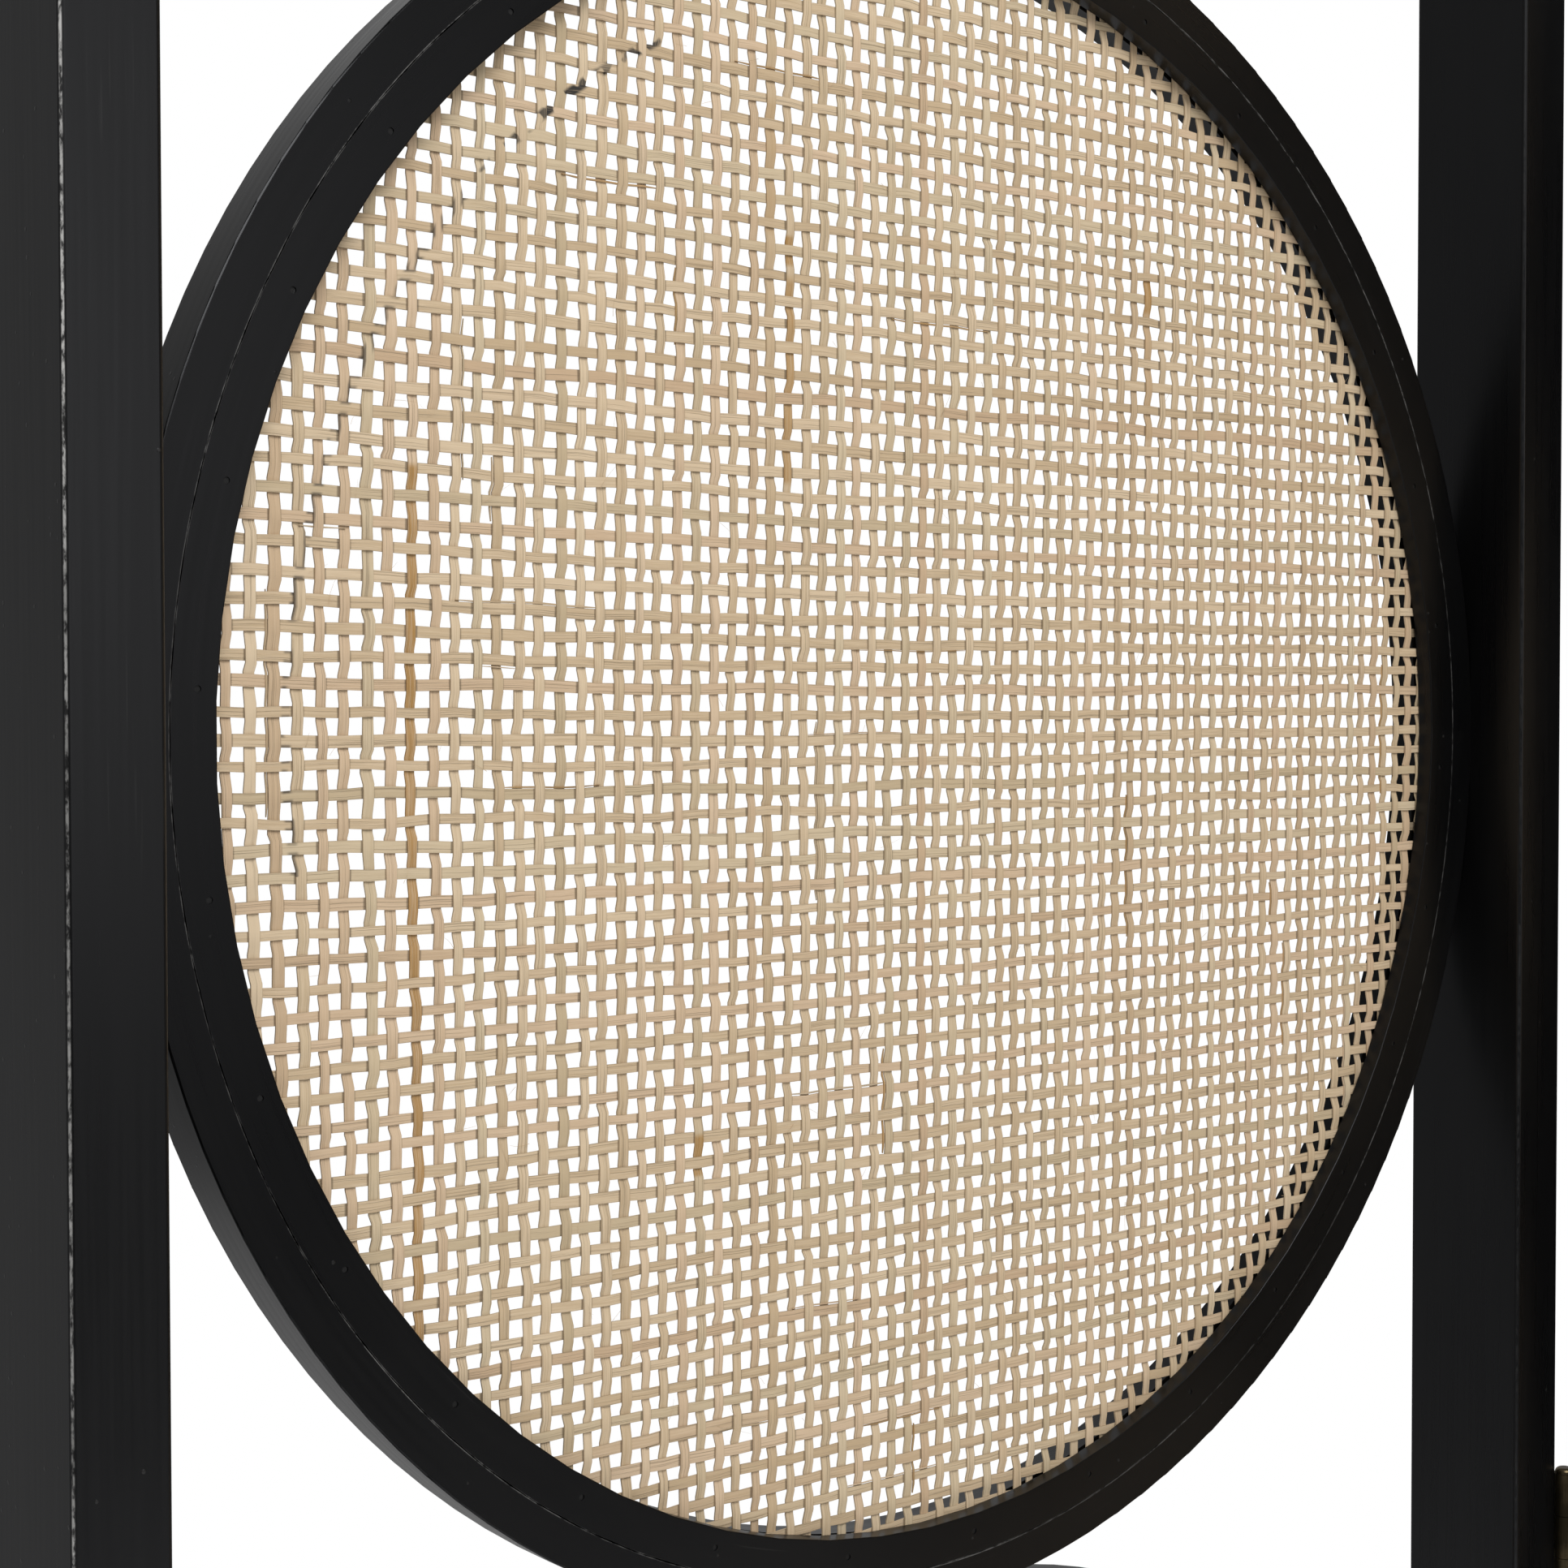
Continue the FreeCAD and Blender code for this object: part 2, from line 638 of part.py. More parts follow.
def make_leaves(label, place, side, first_knuckle):
    """Leaves on one side of the hinge axes, with every second knuckle."""
    body = new_body(label, place)
    near = (AXIS_OUT - size("leaf_thickness")) * side
    far = AXIS_OUT * side
    end = LEAF_EDGE + size("leaf_width")
    corners = [(near, LEAF_EDGE), (far, LEAF_EDGE), (far, end), (near, end)]
    pad(body, outline(body, f"{body.Name}_plate", "XY_Plane", corners), size("hinge_length"))

    def far_corner(edge):
        beyond_screws = edge.CenterOfMass.y > end.value - value_of(size("leaf_corner_round"))
        return runs_along(edge, ALONG_X) and beyond_screws

    ease(body, far_corner, size("leaf_corner_round"))
    level = KNUCKLE_PITCH * first_knuckle + size("knuckle_gap") / 2
    height = KNUCKLE_PITCH - size("knuckle_gap")
    left_edge = near if side > 0 else far
    tab = primitive(
        body, "AdditiveBox", "tab", (left_edge, 0, level), ALONG_Z,
        Length=size("leaf_thickness"),
        Width=LEAF_EDGE,
        Height=height,
    )
    knuckle = primitive(
        body, "AdditiveCylinder", "knuckle", (0, 0, level), ALONG_Z,
        Radius=KNUCKLE_RADIUS,
        Height=height,
    )
    own_knuckles = (count("knuckle_count") - first_knuckle + 1) // 2
    row(body, [tab, knuckle], "Z_Axis", own_knuckles, KNUCKLE_PITCH * 2)
    primitive(
        body, "SubtractiveCylinder", "pin_hole", (0, 0, 0), ALONG_Z,
        Radius=size("pin_diameter") / 2 + size("pin_clearance"),
        Height=size("hinge_length"),
    )
    into_post = ALONG_X * side
    end_place = (near, SCREW_Y, size("screw_margin"))
    row(body, countersink(body, "end", end_place, into_post), "Z_Axis", 2, SCREW_SPAN)
    countersink(body, "middle", (near, MIDDLE_SCREW_Y, size("hinge_length") / 2), into_post)
    column_of(body, HINGE_COUNT, HINGE_PITCH)
    bodies.append(body)


def countersink(body, name, place, direction):
    hole = primitive(
        body, "SubtractiveCylinder", f"{name}_hole", place, direction,
        Radius=SCREW_BORE,
        Height=size("leaf_thickness"),
    )
    cone = primitive(
        body, "SubtractiveCone", f"{name}_cone", place, direction,
        Radius1=size("screw_head_diameter") / 2 + size("screw_clearance") + size("screw_sink"),
        Radius2=SCREW_BORE,
        Height=size("screw_head_height") + size("screw_sink"),
    )
    return [hole, cone]


def make_screws(label, place, side):
    """Screws of the leaves on one side of the hinge axes."""
    body = new_body(label, place)
    face = AXIS_OUT - size("leaf_thickness") + size("screw_sink")
    head = size("screw_head_diameter") / 2
    shank = size("screw_diameter") / 2
    tip = face + size("screw_length")
    corners = [
        (face * side, 0),
        (face * side, head),
        ((face + size("screw_head_height")) * side, shank),
        ((tip - size("screw_tip")) * side, shank),
        (tip * side, 0),
    ]
    slot_width = size("slot_width")
    slot_start = face * side if side > 0 else -face - size("slot_depth")
    spots = {
        "end": (SCREW_Y, size("screw_margin")),
        "middle": (MIDDLE_SCREW_Y, size("hinge_length") / 2),
    }
    for name, (y, z) in spots.items():
        section = outline(body, f"{body.Name}_{name}", "XY_Plane", corners, (0, y, z))
        screw = turn(body, section, "H_Axis")
        slot = primitive(
            body, "SubtractiveBox", f"{name}_slot", (slot_start, y - head, z - slot_width / 2), ALONG_Z,
            Length=size("slot_depth"),
            Width=head * 2,
            Height=slot_width,
        )
        if name == "end":
            row(body, [screw, slot], "Z_Axis", 2, SCREW_SPAN)
    column_of(body, HINGE_COUNT, HINGE_PITCH)
    bodies.append(body)


def make_pins(label, place):
    body = new_body(label, place)
    length = size("hinge_length")
    primitive(
        body, "AdditiveCylinder", "head", (0, 0, length), ALONG_Z,
        Radius=size("pin_head_diameter") / 2,
        Height=size("pin_head_height"),
    )
    top = length + size("pin_head_height")
    rim = size("pin_head_diameter") / 2
    round_over = size("pin_head_height") * PIN_HEAD_ROUND_SHARE
    ease(body, lambda edge: is_circle(edge, rim, top, ALONG_Z), round_over)
    primitive(
        body, "AdditiveCylinder", "shaft", (0, 0, 0), ALONG_Z,
        Radius=size("pin_diameter") / 2,
        Height=length,
    )
    column_of(body, HINGE_COUNT, HINGE_PITCH)
    bodies.append(body)


for panel in PANELS:
    for side in (LEFT, RIGHT):
        make_post(panel, side)
    make_rail(panel, "bottom_rail", size("foot_height"), 1)
    make_rail(panel, "top_rail", COLUMN_TOP, -1)
    for number in range(1, count("hoop_count") + 1):
        make_hoop(panel, number)
        make_cane(panel, number)
    make_retaining_rings(panel)
    make_brads(panel)
    make_dowels(panel)

# The outer panels carry the leaves with the end knuckles and the pins
LEFT_HINGE = hinge_place("left_panel", RIGHT, "front")
LEFT_HINGE_INNER = hinge_place("middle_panel", LEFT, "front")
RIGHT_HINGE = hinge_place("right_panel", LEFT, "rear")
RIGHT_HINGE_INNER = hinge_place("middle_panel", RIGHT, "rear")
OUTER_FIRST = 0
INNER_FIRST = 1
make_leaves("left_hinge_outer_leaves", LEFT_HINGE, LEFT, OUTER_FIRST)
make_leaves("left_hinge_inner_leaves", LEFT_HINGE_INNER, RIGHT, INNER_FIRST)
make_leaves("right_hinge_outer_leaves", RIGHT_HINGE, LEFT, OUTER_FIRST)
make_leaves("right_hinge_inner_leaves", RIGHT_HINGE_INNER, RIGHT, INNER_FIRST)
make_screws("left_hinge_outer_screws", LEFT_HINGE, LEFT)
make_screws("left_hinge_inner_screws", LEFT_HINGE_INNER, RIGHT)
make_screws("right_hinge_outer_screws", RIGHT_HINGE, LEFT)
make_screws("right_hinge_inner_screws", RIGHT_HINGE_INNER, RIGHT)
make_pins("left_hinge_pins", LEFT_HINGE)
make_pins("right_hinge_pins", RIGHT_HINGE)

# Check every feature, then write one file for each sub-part
doc.recompute()
for item in doc.Objects:
    if "Invalid" in item.State or "Error" in item.State:
        raise RuntimeError(f"{item.Label} did not compute")
os.makedirs("parts", exist_ok=True)
for body in bodies:
    if body.Shape.isNull() or not body.Shape.isValid() or not body.Shape.Solids:
        raise RuntimeError(f"{body.Label} is not a valid solid")
    body.Shape.exportStep(f"parts/{body.Label}.step")
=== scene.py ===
"""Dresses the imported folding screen: woven cane, black satin wood, aged brass and a white studio."""

import math
import random

import bmesh
import bpy
from bpy.props import FloatProperty, FloatVectorProperty, IntProperty, PointerProperty
from mathutils import Matrix, Vector


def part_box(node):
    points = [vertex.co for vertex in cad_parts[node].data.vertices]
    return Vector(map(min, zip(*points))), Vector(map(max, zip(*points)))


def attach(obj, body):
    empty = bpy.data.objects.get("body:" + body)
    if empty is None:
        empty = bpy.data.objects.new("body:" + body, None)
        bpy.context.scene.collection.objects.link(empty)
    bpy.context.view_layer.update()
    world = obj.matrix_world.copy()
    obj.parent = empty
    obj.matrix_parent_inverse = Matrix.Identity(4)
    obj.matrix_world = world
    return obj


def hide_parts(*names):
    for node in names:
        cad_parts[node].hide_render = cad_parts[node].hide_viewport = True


bl_info = {
    "name": "Folding cane screen",
    "version": (1, 0, 0),
    "blender": (4, 5, 0),
    "location": "View3D > Sidebar > Cane screen",
    "description": "Weaves the cane and finishes the wood and metal of a folding screen",
    "category": "Add Mesh",
}

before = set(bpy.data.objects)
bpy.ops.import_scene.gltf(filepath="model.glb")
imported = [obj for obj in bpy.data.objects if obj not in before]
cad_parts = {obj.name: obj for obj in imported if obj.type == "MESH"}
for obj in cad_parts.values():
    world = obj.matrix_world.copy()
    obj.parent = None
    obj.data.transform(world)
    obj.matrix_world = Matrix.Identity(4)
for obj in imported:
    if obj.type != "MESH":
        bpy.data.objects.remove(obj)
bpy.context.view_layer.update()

PANELS = ("left_panel", "middle_panel", "right_panel")
HINGES = ("left_hinge", "right_hinge")
HOOPS = tuple(range(1, 5))
PHOTO_DISC = "left_panel_cane_3"
UP = Vector((0, 0, 1))
INTO_PANEL = Vector((0, 1, 0))


# Settings that a user would change

def colour(name, description, default):
    """A colour setting."""
    return FloatVectorProperty(name=name, description=description, subtype="COLOR", size=3, min=0.0,
                               max=1.0, default=default)


def metres(name, description, default, least):
    """A setting for a small length."""
    return FloatProperty(name=name, description=description, default=default, min=least, unit="LENGTH",
                         precision=5)


class CaneSettings(bpy.types.PropertyGroup):
    """Sizes and colours of the woven cane."""
    column_pitch: metres("Upright pitch", "Distance between upright strands", 0.00545, 0.003)
    row_pitch: metres("Cross pitch", "Distance between cross strands", 0.00584, 0.003)
    column_width: metres("Upright width", "Width of an upright strand", 0.00250, 0.0005)
    row_width: metres("Cross width", "Width of a cross strand", 0.00245, 0.0005)
    thickness: metres("Thickness", "Thickness of a strand", 0.00037, 0.0002)
    column_lift: metres("Upright lift", "How far an upright strand leaves the disc's middle plane",
                        0.00024, 0.0)
    row_lift: metres("Cross lift", "How far a cross strand leaves the disc's middle plane", 0.00026, 0.0)
    looseness: FloatProperty(
        name="Looseness", description="How unevenly the strands lie, as a share of their pitch",
        default=0.05, min=0.0, max=0.2, subtype="FACTOR")
    hairs: IntProperty(
        name="Hairs", description="Fine hairs that stand off each disc", default=170, min=0)
    splits: IntProperty(
        name="Splits", description="Slivers that have split from a strand on each disc", default=34, min=0)
    pale: colour("Pale cane", "Colour of the palest strands", (0.68, 0.54, 0.37))
    deep: colour("Deep cane", "Colour of the darkest strands", (0.53, 0.395, 0.245))
    skin: colour("Cane skin", "Colour of the brown skin left on some strands", (0.40, 0.225, 0.072))
    rosy: colour("Rosy cane", "Colour that some strands lean to", (0.60, 0.40, 0.27))
    grey: colour("Grey cane", "Colour that other strands lean to", (0.52, 0.45, 0.30))
    ink: colour("Marker", "Colour of the dark marks from setting out the disc", (0.030, 0.028, 0.026))


class WoodSettings(bpy.types.PropertyGroup):
    """Colours and wear, with a painted highlight at the worn edges, of the black satin wood and of the
    dowels.
    """
    paint: colour("Black", "Colour of the satin paint", (0.0013, 0.0013, 0.0014))
    # Light grey of the worn edges, which also paints a highlight on their rounding
    bare: colour("Worn edge and highlight", "Colour where the paint has rubbed thin", (0.65, 0.64, 0.62))
    dust: colour("Dust", "Colour of specks of dust on the paint", (0.050, 0.049, 0.047))
    gloss: FloatProperty(
        name="Roughness", description="Roughness of the satin paint", default=0.31,
        min=0.0, max=1.0, subtype="FACTOR")
    # Share of edge wear, which also paints the edges' highlight
    wear_and_highlight: FloatProperty(
        name="Edge wear and highlight", description="How much the paint is worn at the edges", default=0.8,
        min=0.0, max=1.0, subtype="FACTOR")
    dowel: colour("Dowel", "Colour of the bare dowels", (0.56, 0.37, 0.20))


class MetalSettings(bpy.types.PropertyGroup):
    """Colours of the hinges and brads."""
    brass: colour("Brass", "Colour of the rubbed brass", (0.115, 0.090, 0.051))
    tarnish: colour("Tarnish", "Colour of the aged brass", (0.032, 0.026, 0.016))
    steel: colour("Brad steel", "Colour of the brads where their black has chipped", (0.022, 0.022, 0.023))


class StageSettings(bpy.types.PropertyGroup):
    """Light, floor and camera."""
    key_power: FloatProperty(
        name="Key light", description="Power of the large soft lamp", default=56.0, min=0.0, unit="POWER")
    ambient: FloatProperty(
        name="Ambient", description="Level of the even light from all sides", default=0.48, min=0.0)
    floor_radius: FloatProperty(
        name="Floor radius", description="Radius of the pale floor", default=2.4, min=0.5, unit="LENGTH")
    floor_colour: colour("Floor", "Colour of the floor", (0.86, 0.86, 0.86))
    camera_place: FloatVectorProperty(
        name="Camera place", description="Where the camera stands", subtype="TRANSLATION", unit="LENGTH",
        size=3, default=(-0.5045, -0.6338, 1.1312))
    camera_heading: FloatProperty(
        name="Camera heading", description="Turn of the camera about the vertical, from straight ahead",
        default=-0.0736, unit="ROTATION")
    camera_tilt: FloatProperty(
        name="Camera tilt", description="Tilt of the camera above the horizon", default=-0.0270,
        unit="ROTATION")
    camera_roll: FloatProperty(
        name="Camera roll", description="Roll of the camera about its line of sight", default=0.0014,
        unit="ROTATION")
    camera_lens: FloatProperty(
        name="Camera lens", description="Focal length on a 36 mm sensor", default=58.46, min=1.0,
        unit="CAMERA")


# Places of the panels and discs

def middle(node):
    """Middle of a CAD node's box."""
    low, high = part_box(node)
    return (low + high) / 2


def panel_place(panel):
    """Matrix from a panel's own axes, from its middle on the floor, to the screen's."""
    left = middle(f"{panel}_left_post")
    right = middle(f"{panel}_right_post")
    run = right - left
    spot = (left + right) / 2
    return Matrix.Translation((spot.x, spot.y, 0)) @ Matrix.Rotation(math.atan2(run.y, run.x), 4, "Z")


def panel_point(panel, node):
    """Middle of a CAD node in its panel's own axes."""
    return panel_place(panel).inverted() @ middle(node)


# Woven cane

class Weave:
    """The run of every strand in one disc of cane, laid out from a seed."""

    # Share of a pitch on each side of a crossing where an upright strand lies flat
    COLUMN_FLAT = 0.30
    # Least distance from a cross strand's last crossing to the rim
    RIM_GAP = 0.00128
    # Sideways shift of a strand between its front and rear crossings
    KICK = 0.00003
    # Ranges of amplitude and of waves per metre for a strand's short and long waves
    SHORT_WAVE = ((0.00006, 0.00022), (22, 60))
    LONG_WAVE = ((0.0001, 0.00045), (5, 14))
    # The same for the slow wave that neighbours share, and its waves per metre across them
    SHARED_WAVE = ((0.0006, 0.0012), (2.0, 3.5), (0.6, 1.6))
    WAVE_START = (0, 6.28)
    # Rounds that settle where two swaying strands meet
    ROUNDS = 2

    def __init__(self, cane, radius, seed):
        self.cane = cane
        self.radius = radius
        self.dice = random.Random(seed)
        self.columns = self.spaced(cane.column_pitch)
        self.rows = self.spaced(cane.row_pitch)
        self.column_sway = [self.sway() for _ in self.columns]
        self.row_sway = [self.sway() for _ in self.rows]
        self.column_bow = self.wave(self.SHARED_WAVE)
        self.row_bow = self.wave(self.SHARED_WAVE)
        self.crossings = {}

    def spaced(self, pitch):
        """Places of parallel strands across the disc, a little uneven."""
        count = int(2 * self.radius / pitch)
        first = -(count - 1) / 2 * pitch
        slack = self.cane.looseness * pitch
        return [first + number * pitch + self.dice.uniform(-slack, slack) for number in range(count)]

    def wave(self, ranges):
        """A value from each of some ranges, and where the wave starts."""
        return tuple(self.dice.uniform(*limits) for limits in (*ranges, self.WAVE_START))

    def sway(self):
        """A strand's own small waves: amplitude, waves per metre and start for two waves."""
        return self.wave(self.SHORT_WAVE), self.wave(self.LONG_WAVE)

    @staticmethod
    def shift(sways, bow, base, way):
        """Sideways shift of a strand at a distance along it."""
        total = sum(size * math.sin(2 * math.pi * rate * way + start) for size, rate, start in sways)
        size, rate, cross_rate, start = bow
        return total + size * math.sin(2 * math.pi * (rate * way + cross_rate * base) + start)

    def crossing(self, column, row):
        """Where an upright and a cross strand meet, in the disc's plane."""
        key = (column, row)
        if key not in self.crossings:
            x = self.columns[column]
            z = self.rows[row]
            for _ in range(self.ROUNDS):
                z = self.rows[row] + self.shift(self.row_sway[row], self.row_bow, self.rows[row], x)
                x = self.columns[column] + self.shift(self.column_sway[column], self.column_bow,
                                                      self.columns[column], z)
            self.crossings[key] = (x, z)
        return self.crossings[key]

    def column_run(self, column):
        """Points along an upright strand, from the rim at the bottom to the rim at the top."""
        flat = self.COLUMN_FLAT * self.cane.row_pitch
        points = []
        for row in range(len(self.rows)):
            x, z = self.crossing(column, row)
            if math.hypot(x, abs(z) + flat) < self.radius:
                front = 1 if (column + row) % 2 else -1
                x += front * self.KICK
                points.append(Vector((x, -front * self.cane.column_lift, z - flat)))
                points.append(Vector((x, -front * self.cane.column_lift, z + flat)))
        return points

    def row_run(self, row):
        """Points along a cross strand, from the rim at the left to the rim at the right."""
        points = []
        for column in range(len(self.columns)):
            x, z = self.crossing(column, row)
            if math.hypot(abs(x) + self.RIM_GAP, z) < self.radius:
                front = -1 if (column + row) % 2 else 1
                points.append(Vector((x, -front * self.cane.row_lift, z + front * self.KICK / 2)))
        return points

    def ends(self, points, upright):
        """The same run with its two ends drawn out to the rim."""
        if not points:
            return []
        first, last = points[0].copy(), points[-1].copy()
        for point, sign in ((first, -1), (last, 1)):
            if upright:
                point.z = sign * math.sqrt(max(self.radius ** 2 - point.x ** 2, 0))
            else:
                point.x = sign * math.sqrt(max(self.radius ** 2 - point.z ** 2, 0))
        return [first] + points + [last]


class Strands:
    """Lays strands, slivers and hairs in a bmesh and keeps what the cane's material reads from them."""

    NAMES = ("tone", "along", "across", "skin", "ink", "grime", "disc_x", "disc_z")
    # A hair's sides, how much thinner its tip is, cuts along it, fibre pattern and share of brown skin
    HAIR_SIDES = 3
    HAIR_TAPER = 3
    HAIR_CUTS = 2
    HAIR_FIBRE = 7
    HAIR_SKIN = 0.25

    def __init__(self, mesh):
        self.mesh = mesh
        self.layers = {name: mesh.verts.layers.float.new(name) for name in self.NAMES}

    def note(self, vert, **values):
        """Write a vertex's values for the material."""
        for name, value in values.items():
            vert[self.layers[name]] = value

    def ribbon(self, points, widths, tone, start, skins, ink, grime, offset=0.0):
        """A flat strand along the points: a one-face-wide grid drawn onto its run."""
        count = len(points)
        made = bmesh.ops.create_grid(self.mesh, x_segments=count - 1, y_segments=1, size=0.5)
        sides = []
        lengths = [start]
        for step in range(count):
            run = points[min(step + 1, count - 1)] - points[max(step - 1, 0)]
            sides.append(run.cross(INTO_PANEL).normalized())
            if step:
                lengths.append(lengths[-1] + (points[step] - points[step - 1]).length)
        for vert in made["verts"]:
            step = round((vert.co.x + 0.5) * (count - 1))
            side = 1.0 if vert.co.y > 0 else -1.0
            vert.co = points[step] + sides[step] * (offset + side * widths[step] / 2)
            # Each vertex also keeps the painted shade for where the strand dips under a neighbour, signed by
            # its depth
            self.note(vert, tone=tone, along=lengths[step], across=side, skin=skins[step], ink=ink,
                      grime=math.copysign(grime, points[step].y), disc_x=vert.co.x, disc_z=vert.co.z)

    def turn_grime(self):
        """Flip the painted shade: seen from the rear, the strands that dip under their neighbours are the
        other ones.
        """
        self.mesh.normal_update()
        grime = self.layers["grime"]
        for vert in self.mesh.verts:
            if vert.normal.y > 0:
                vert[grime] = -vert[grime]

    def hair(self, root, way, bend, radius, tone):
        """A fine curved hair: a taper that is cut along its length and bent."""
        length = way.length
        before = len(self.mesh.verts)
        made = bmesh.ops.create_cone(self.mesh, cap_ends=True, segments=self.HAIR_SIDES, radius1=radius,
                                     radius2=radius / self.HAIR_TAPER, depth=length)
        long_edges = dict.fromkeys(edge for vert in made["verts"] for edge in vert.link_edges
                                   if edge.calc_length() > length / 2)
        bmesh.ops.subdivide_edges(self.mesh, edges=list(long_edges), cuts=self.HAIR_CUTS, use_grid_fill=True)
        turn = UP.rotation_difference(way.normalized())
        self.mesh.verts.ensure_lookup_table()
        for vert in self.mesh.verts[before:]:
            share = vert.co.z / length + 0.5
            vert.co = root + turn @ Vector((vert.co.x, vert.co.y, share * length)) + bend * share * share
            self.note(vert, tone=tone, along=root.z * self.HAIR_FIBRE, skin=self.HAIR_SKIN)


# Stretches of brown skin on the photographed disc: across, upper end, lower end and strength
PHOTO_SKINS = (
    (-0.1518, 0.0570, 0.0050, 1.0),
    (-0.1518, 0.0050, -0.1300, 0.5),
    (-0.0448, 0.1190, 0.1120, 1.0),
    (-0.0448, 0.1110, 0.0600, 0.45),
    (0.0770, 0.1240, 0.1140, 0.8),
    (0.0770, 0.1140, 0.0800, 0.3),
    (-0.0735, -0.0940, -0.1020, 1.0),
    (-0.0500, 0.1500, 0.1200, 0.25),
)

# For other discs: number of stretches, place and upper end as shares, lengths and strength
SKIN_COUNT = (3, 5)
SKIN_ACROSS = (-0.85, 0.85)
SKIN_TOP = (-0.4, 0.9)
SKIN_LENGTHS = (0.008, 0.012, 0.05, 0.15)
SKIN_STRENGTH = (0.5, 1.0)


def other_skins(dice, radius):
    """Stretches of brown skin for a disc that the photo doesn't show."""
    skins = []
    for _ in range(dice.randint(*SKIN_COUNT)):
        across = dice.uniform(*SKIN_ACROSS) * radius
        reach = math.sqrt(radius ** 2 - across ** 2)
        top = dice.uniform(*SKIN_TOP) * reach
        length = dice.choice(SKIN_LENGTHS)
        skins.append((across, top, max(top - length, -reach), dice.uniform(*SKIN_STRENGTH)))
    return skins


# Points up to which a strand is left out
SHORT_RUN = 4
# A strand's share of its nominal width, as a whole and along its run
STRAND_BREADTH = (0.86, 1.10)
STRAND_UNEVEN = (0.93, 1.05)
# Mean and spread of the strands' tone, from deep at 0 to pale at 1, and start of their fibre pattern
STRAND_TONE = (0.5, 0.20)
FIBRE_START = (0, 9)
# How much marker ink a strand may have taken, on the photographed disc and on others
PHOTO_INK = (0.75, 0.9, 1.0)
OTHER_INK = (0.0, 0.0, 0.3)
# How strongly uprights and cross strands get painted shade where they dip under a neighbour
COLUMN_PAINTED_SHADE = 0.72
ROW_PAINTED_SHADE = 1.9


def weave_disc(name, cane, seed):
    """One disc of woven cane in a bmesh, about its middle, with uprights along Z and depth along Y."""
    low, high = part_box(name)
    weave = Weave(cane, (high.z - low.z) / 2, seed)
    dice = weave.dice
    mesh = bmesh.new()
    strands = Strands(mesh)
    grow_hairs(weave, strands)
    hairs = set(mesh.faces)
    skins = PHOTO_SKINS if name == PHOTO_DISC else other_skins(dice, weave.radius)
    runs = []
    for column, place in enumerate(weave.columns):
        runs.append((weave.ends(weave.column_run(column), True), cane.column_width, True, place))
    for row, place in enumerate(weave.rows):
        runs.append((weave.ends(weave.row_run(row), False), cane.row_width, False, place))
    runs = [run for run in runs if len(run[0]) > SHORT_RUN]
    for points, width, upright, place in runs:
        broad = width * dice.uniform(*STRAND_BREADTH)
        widths = [broad * dice.uniform(*STRAND_UNEVEN) for _ in points]
        tone = min(max(dice.gauss(*STRAND_TONE), 0.0), 1.0)
        marked = []
        if upright:
            marked = [skin for skin in skins if abs(skin[0] - place) < cane.column_pitch / 2]
        brown = [max((skin[3] for skin in marked if skin[2] < point.z < skin[1]), default=0.0)
                 for point in points]
        ink = dice.choice(PHOTO_INK if name == PHOTO_DISC else OTHER_INK)
        # Strength of the painted shade where this strand dips under a neighbour
        grime = COLUMN_PAINTED_SHADE if upright else ROW_PAINTED_SHADE
        strands.ribbon(points, widths, tone, dice.uniform(*FIBRE_START), brown, ink, grime)
    split_strands(weave, strands, runs)
    give_thickness(mesh, [face for face in mesh.faces if face not in hairs], cane.thickness)
    strands.turn_grime()
    return mesh


# Slivers: points that a run which splits exceeds, points left whole at its start and end, points of a
# sliver on an upright and on a cross strand, its width, its way off in widths, and its brown skin
SPLIT_RUN = 24
SPLIT_START = 2
SPLIT_END = 20
COLUMN_SPLIT = (5, 18)
ROW_SPLIT = (3, 9)
SPLIT_WIDTH = (0.00018, 0.00045)
SPLIT_AWAY = (0.7, 1.6)
SPLIT_SKIN = (0.0, 0.1, 0.5)


def split_strands(weave, strands, runs):
    """Slivers that have come away from a strand's side and run along it for a few crossings."""
    cane, dice = weave.cane, weave.dice
    for _ in range(cane.splits):
        points, width, upright, _ = dice.choice([run for run in runs if len(run[0]) > SPLIT_RUN])
        first = dice.randrange(SPLIT_START, len(points) - SPLIT_END)
        count = dice.randrange(*(COLUMN_SPLIT if upright else ROW_SPLIT))
        part = [point.copy() for point in points[first:first + count]]
        sliver = dice.uniform(*SPLIT_WIDTH)
        away = dice.choice((-1, 1)) * (width / 2 + sliver * dice.uniform(*SPLIT_AWAY))
        widths = [sliver] * len(part)
        widths[0] = widths[-1] = sliver / 3
        brown = [dice.choice(SPLIT_SKIN)] * len(part)
        strands.ribbon(part, widths, dice.random(), dice.uniform(*FIBRE_START), brown, 0.0, 0.0, away)


# Angle between two faces past which their edge is shaded sharp
CRISP = math.radians(50)


def give_thickness(mesh, flat_faces, thickness):
    """Turn the flat strands into thin closed ones with crisp sides, centred on their runs."""
    bmesh.ops.solidify(mesh, geom=flat_faces, thickness=thickness)
    bmesh.ops.recalc_face_normals(mesh, faces=mesh.faces[:])
    depth = sum(vert.co.y for vert in mesh.verts) / len(mesh.verts)
    bmesh.ops.translate(mesh, verts=mesh.verts[:], vec=(0, -depth, 0))
    for edge in mesh.edges:
        edge.smooth = edge.calc_face_angle(math.pi) < CRISP
    for face in mesh.faces:
        face.smooth = True


# Share of the radius that bears hairs, depth of their roots, and the hairs' length, lean, bend and radius
HAIR_FIELD = 0.95
HAIR_ROOT = 0.0003
HAIR_LENGTH = (0.0025, 0.0075)
HAIR_LEAN = (-0.25, 0.10)
HAIR_BEND = 0.35
HAIR_RADIUS = (0.00003, 0.00006)


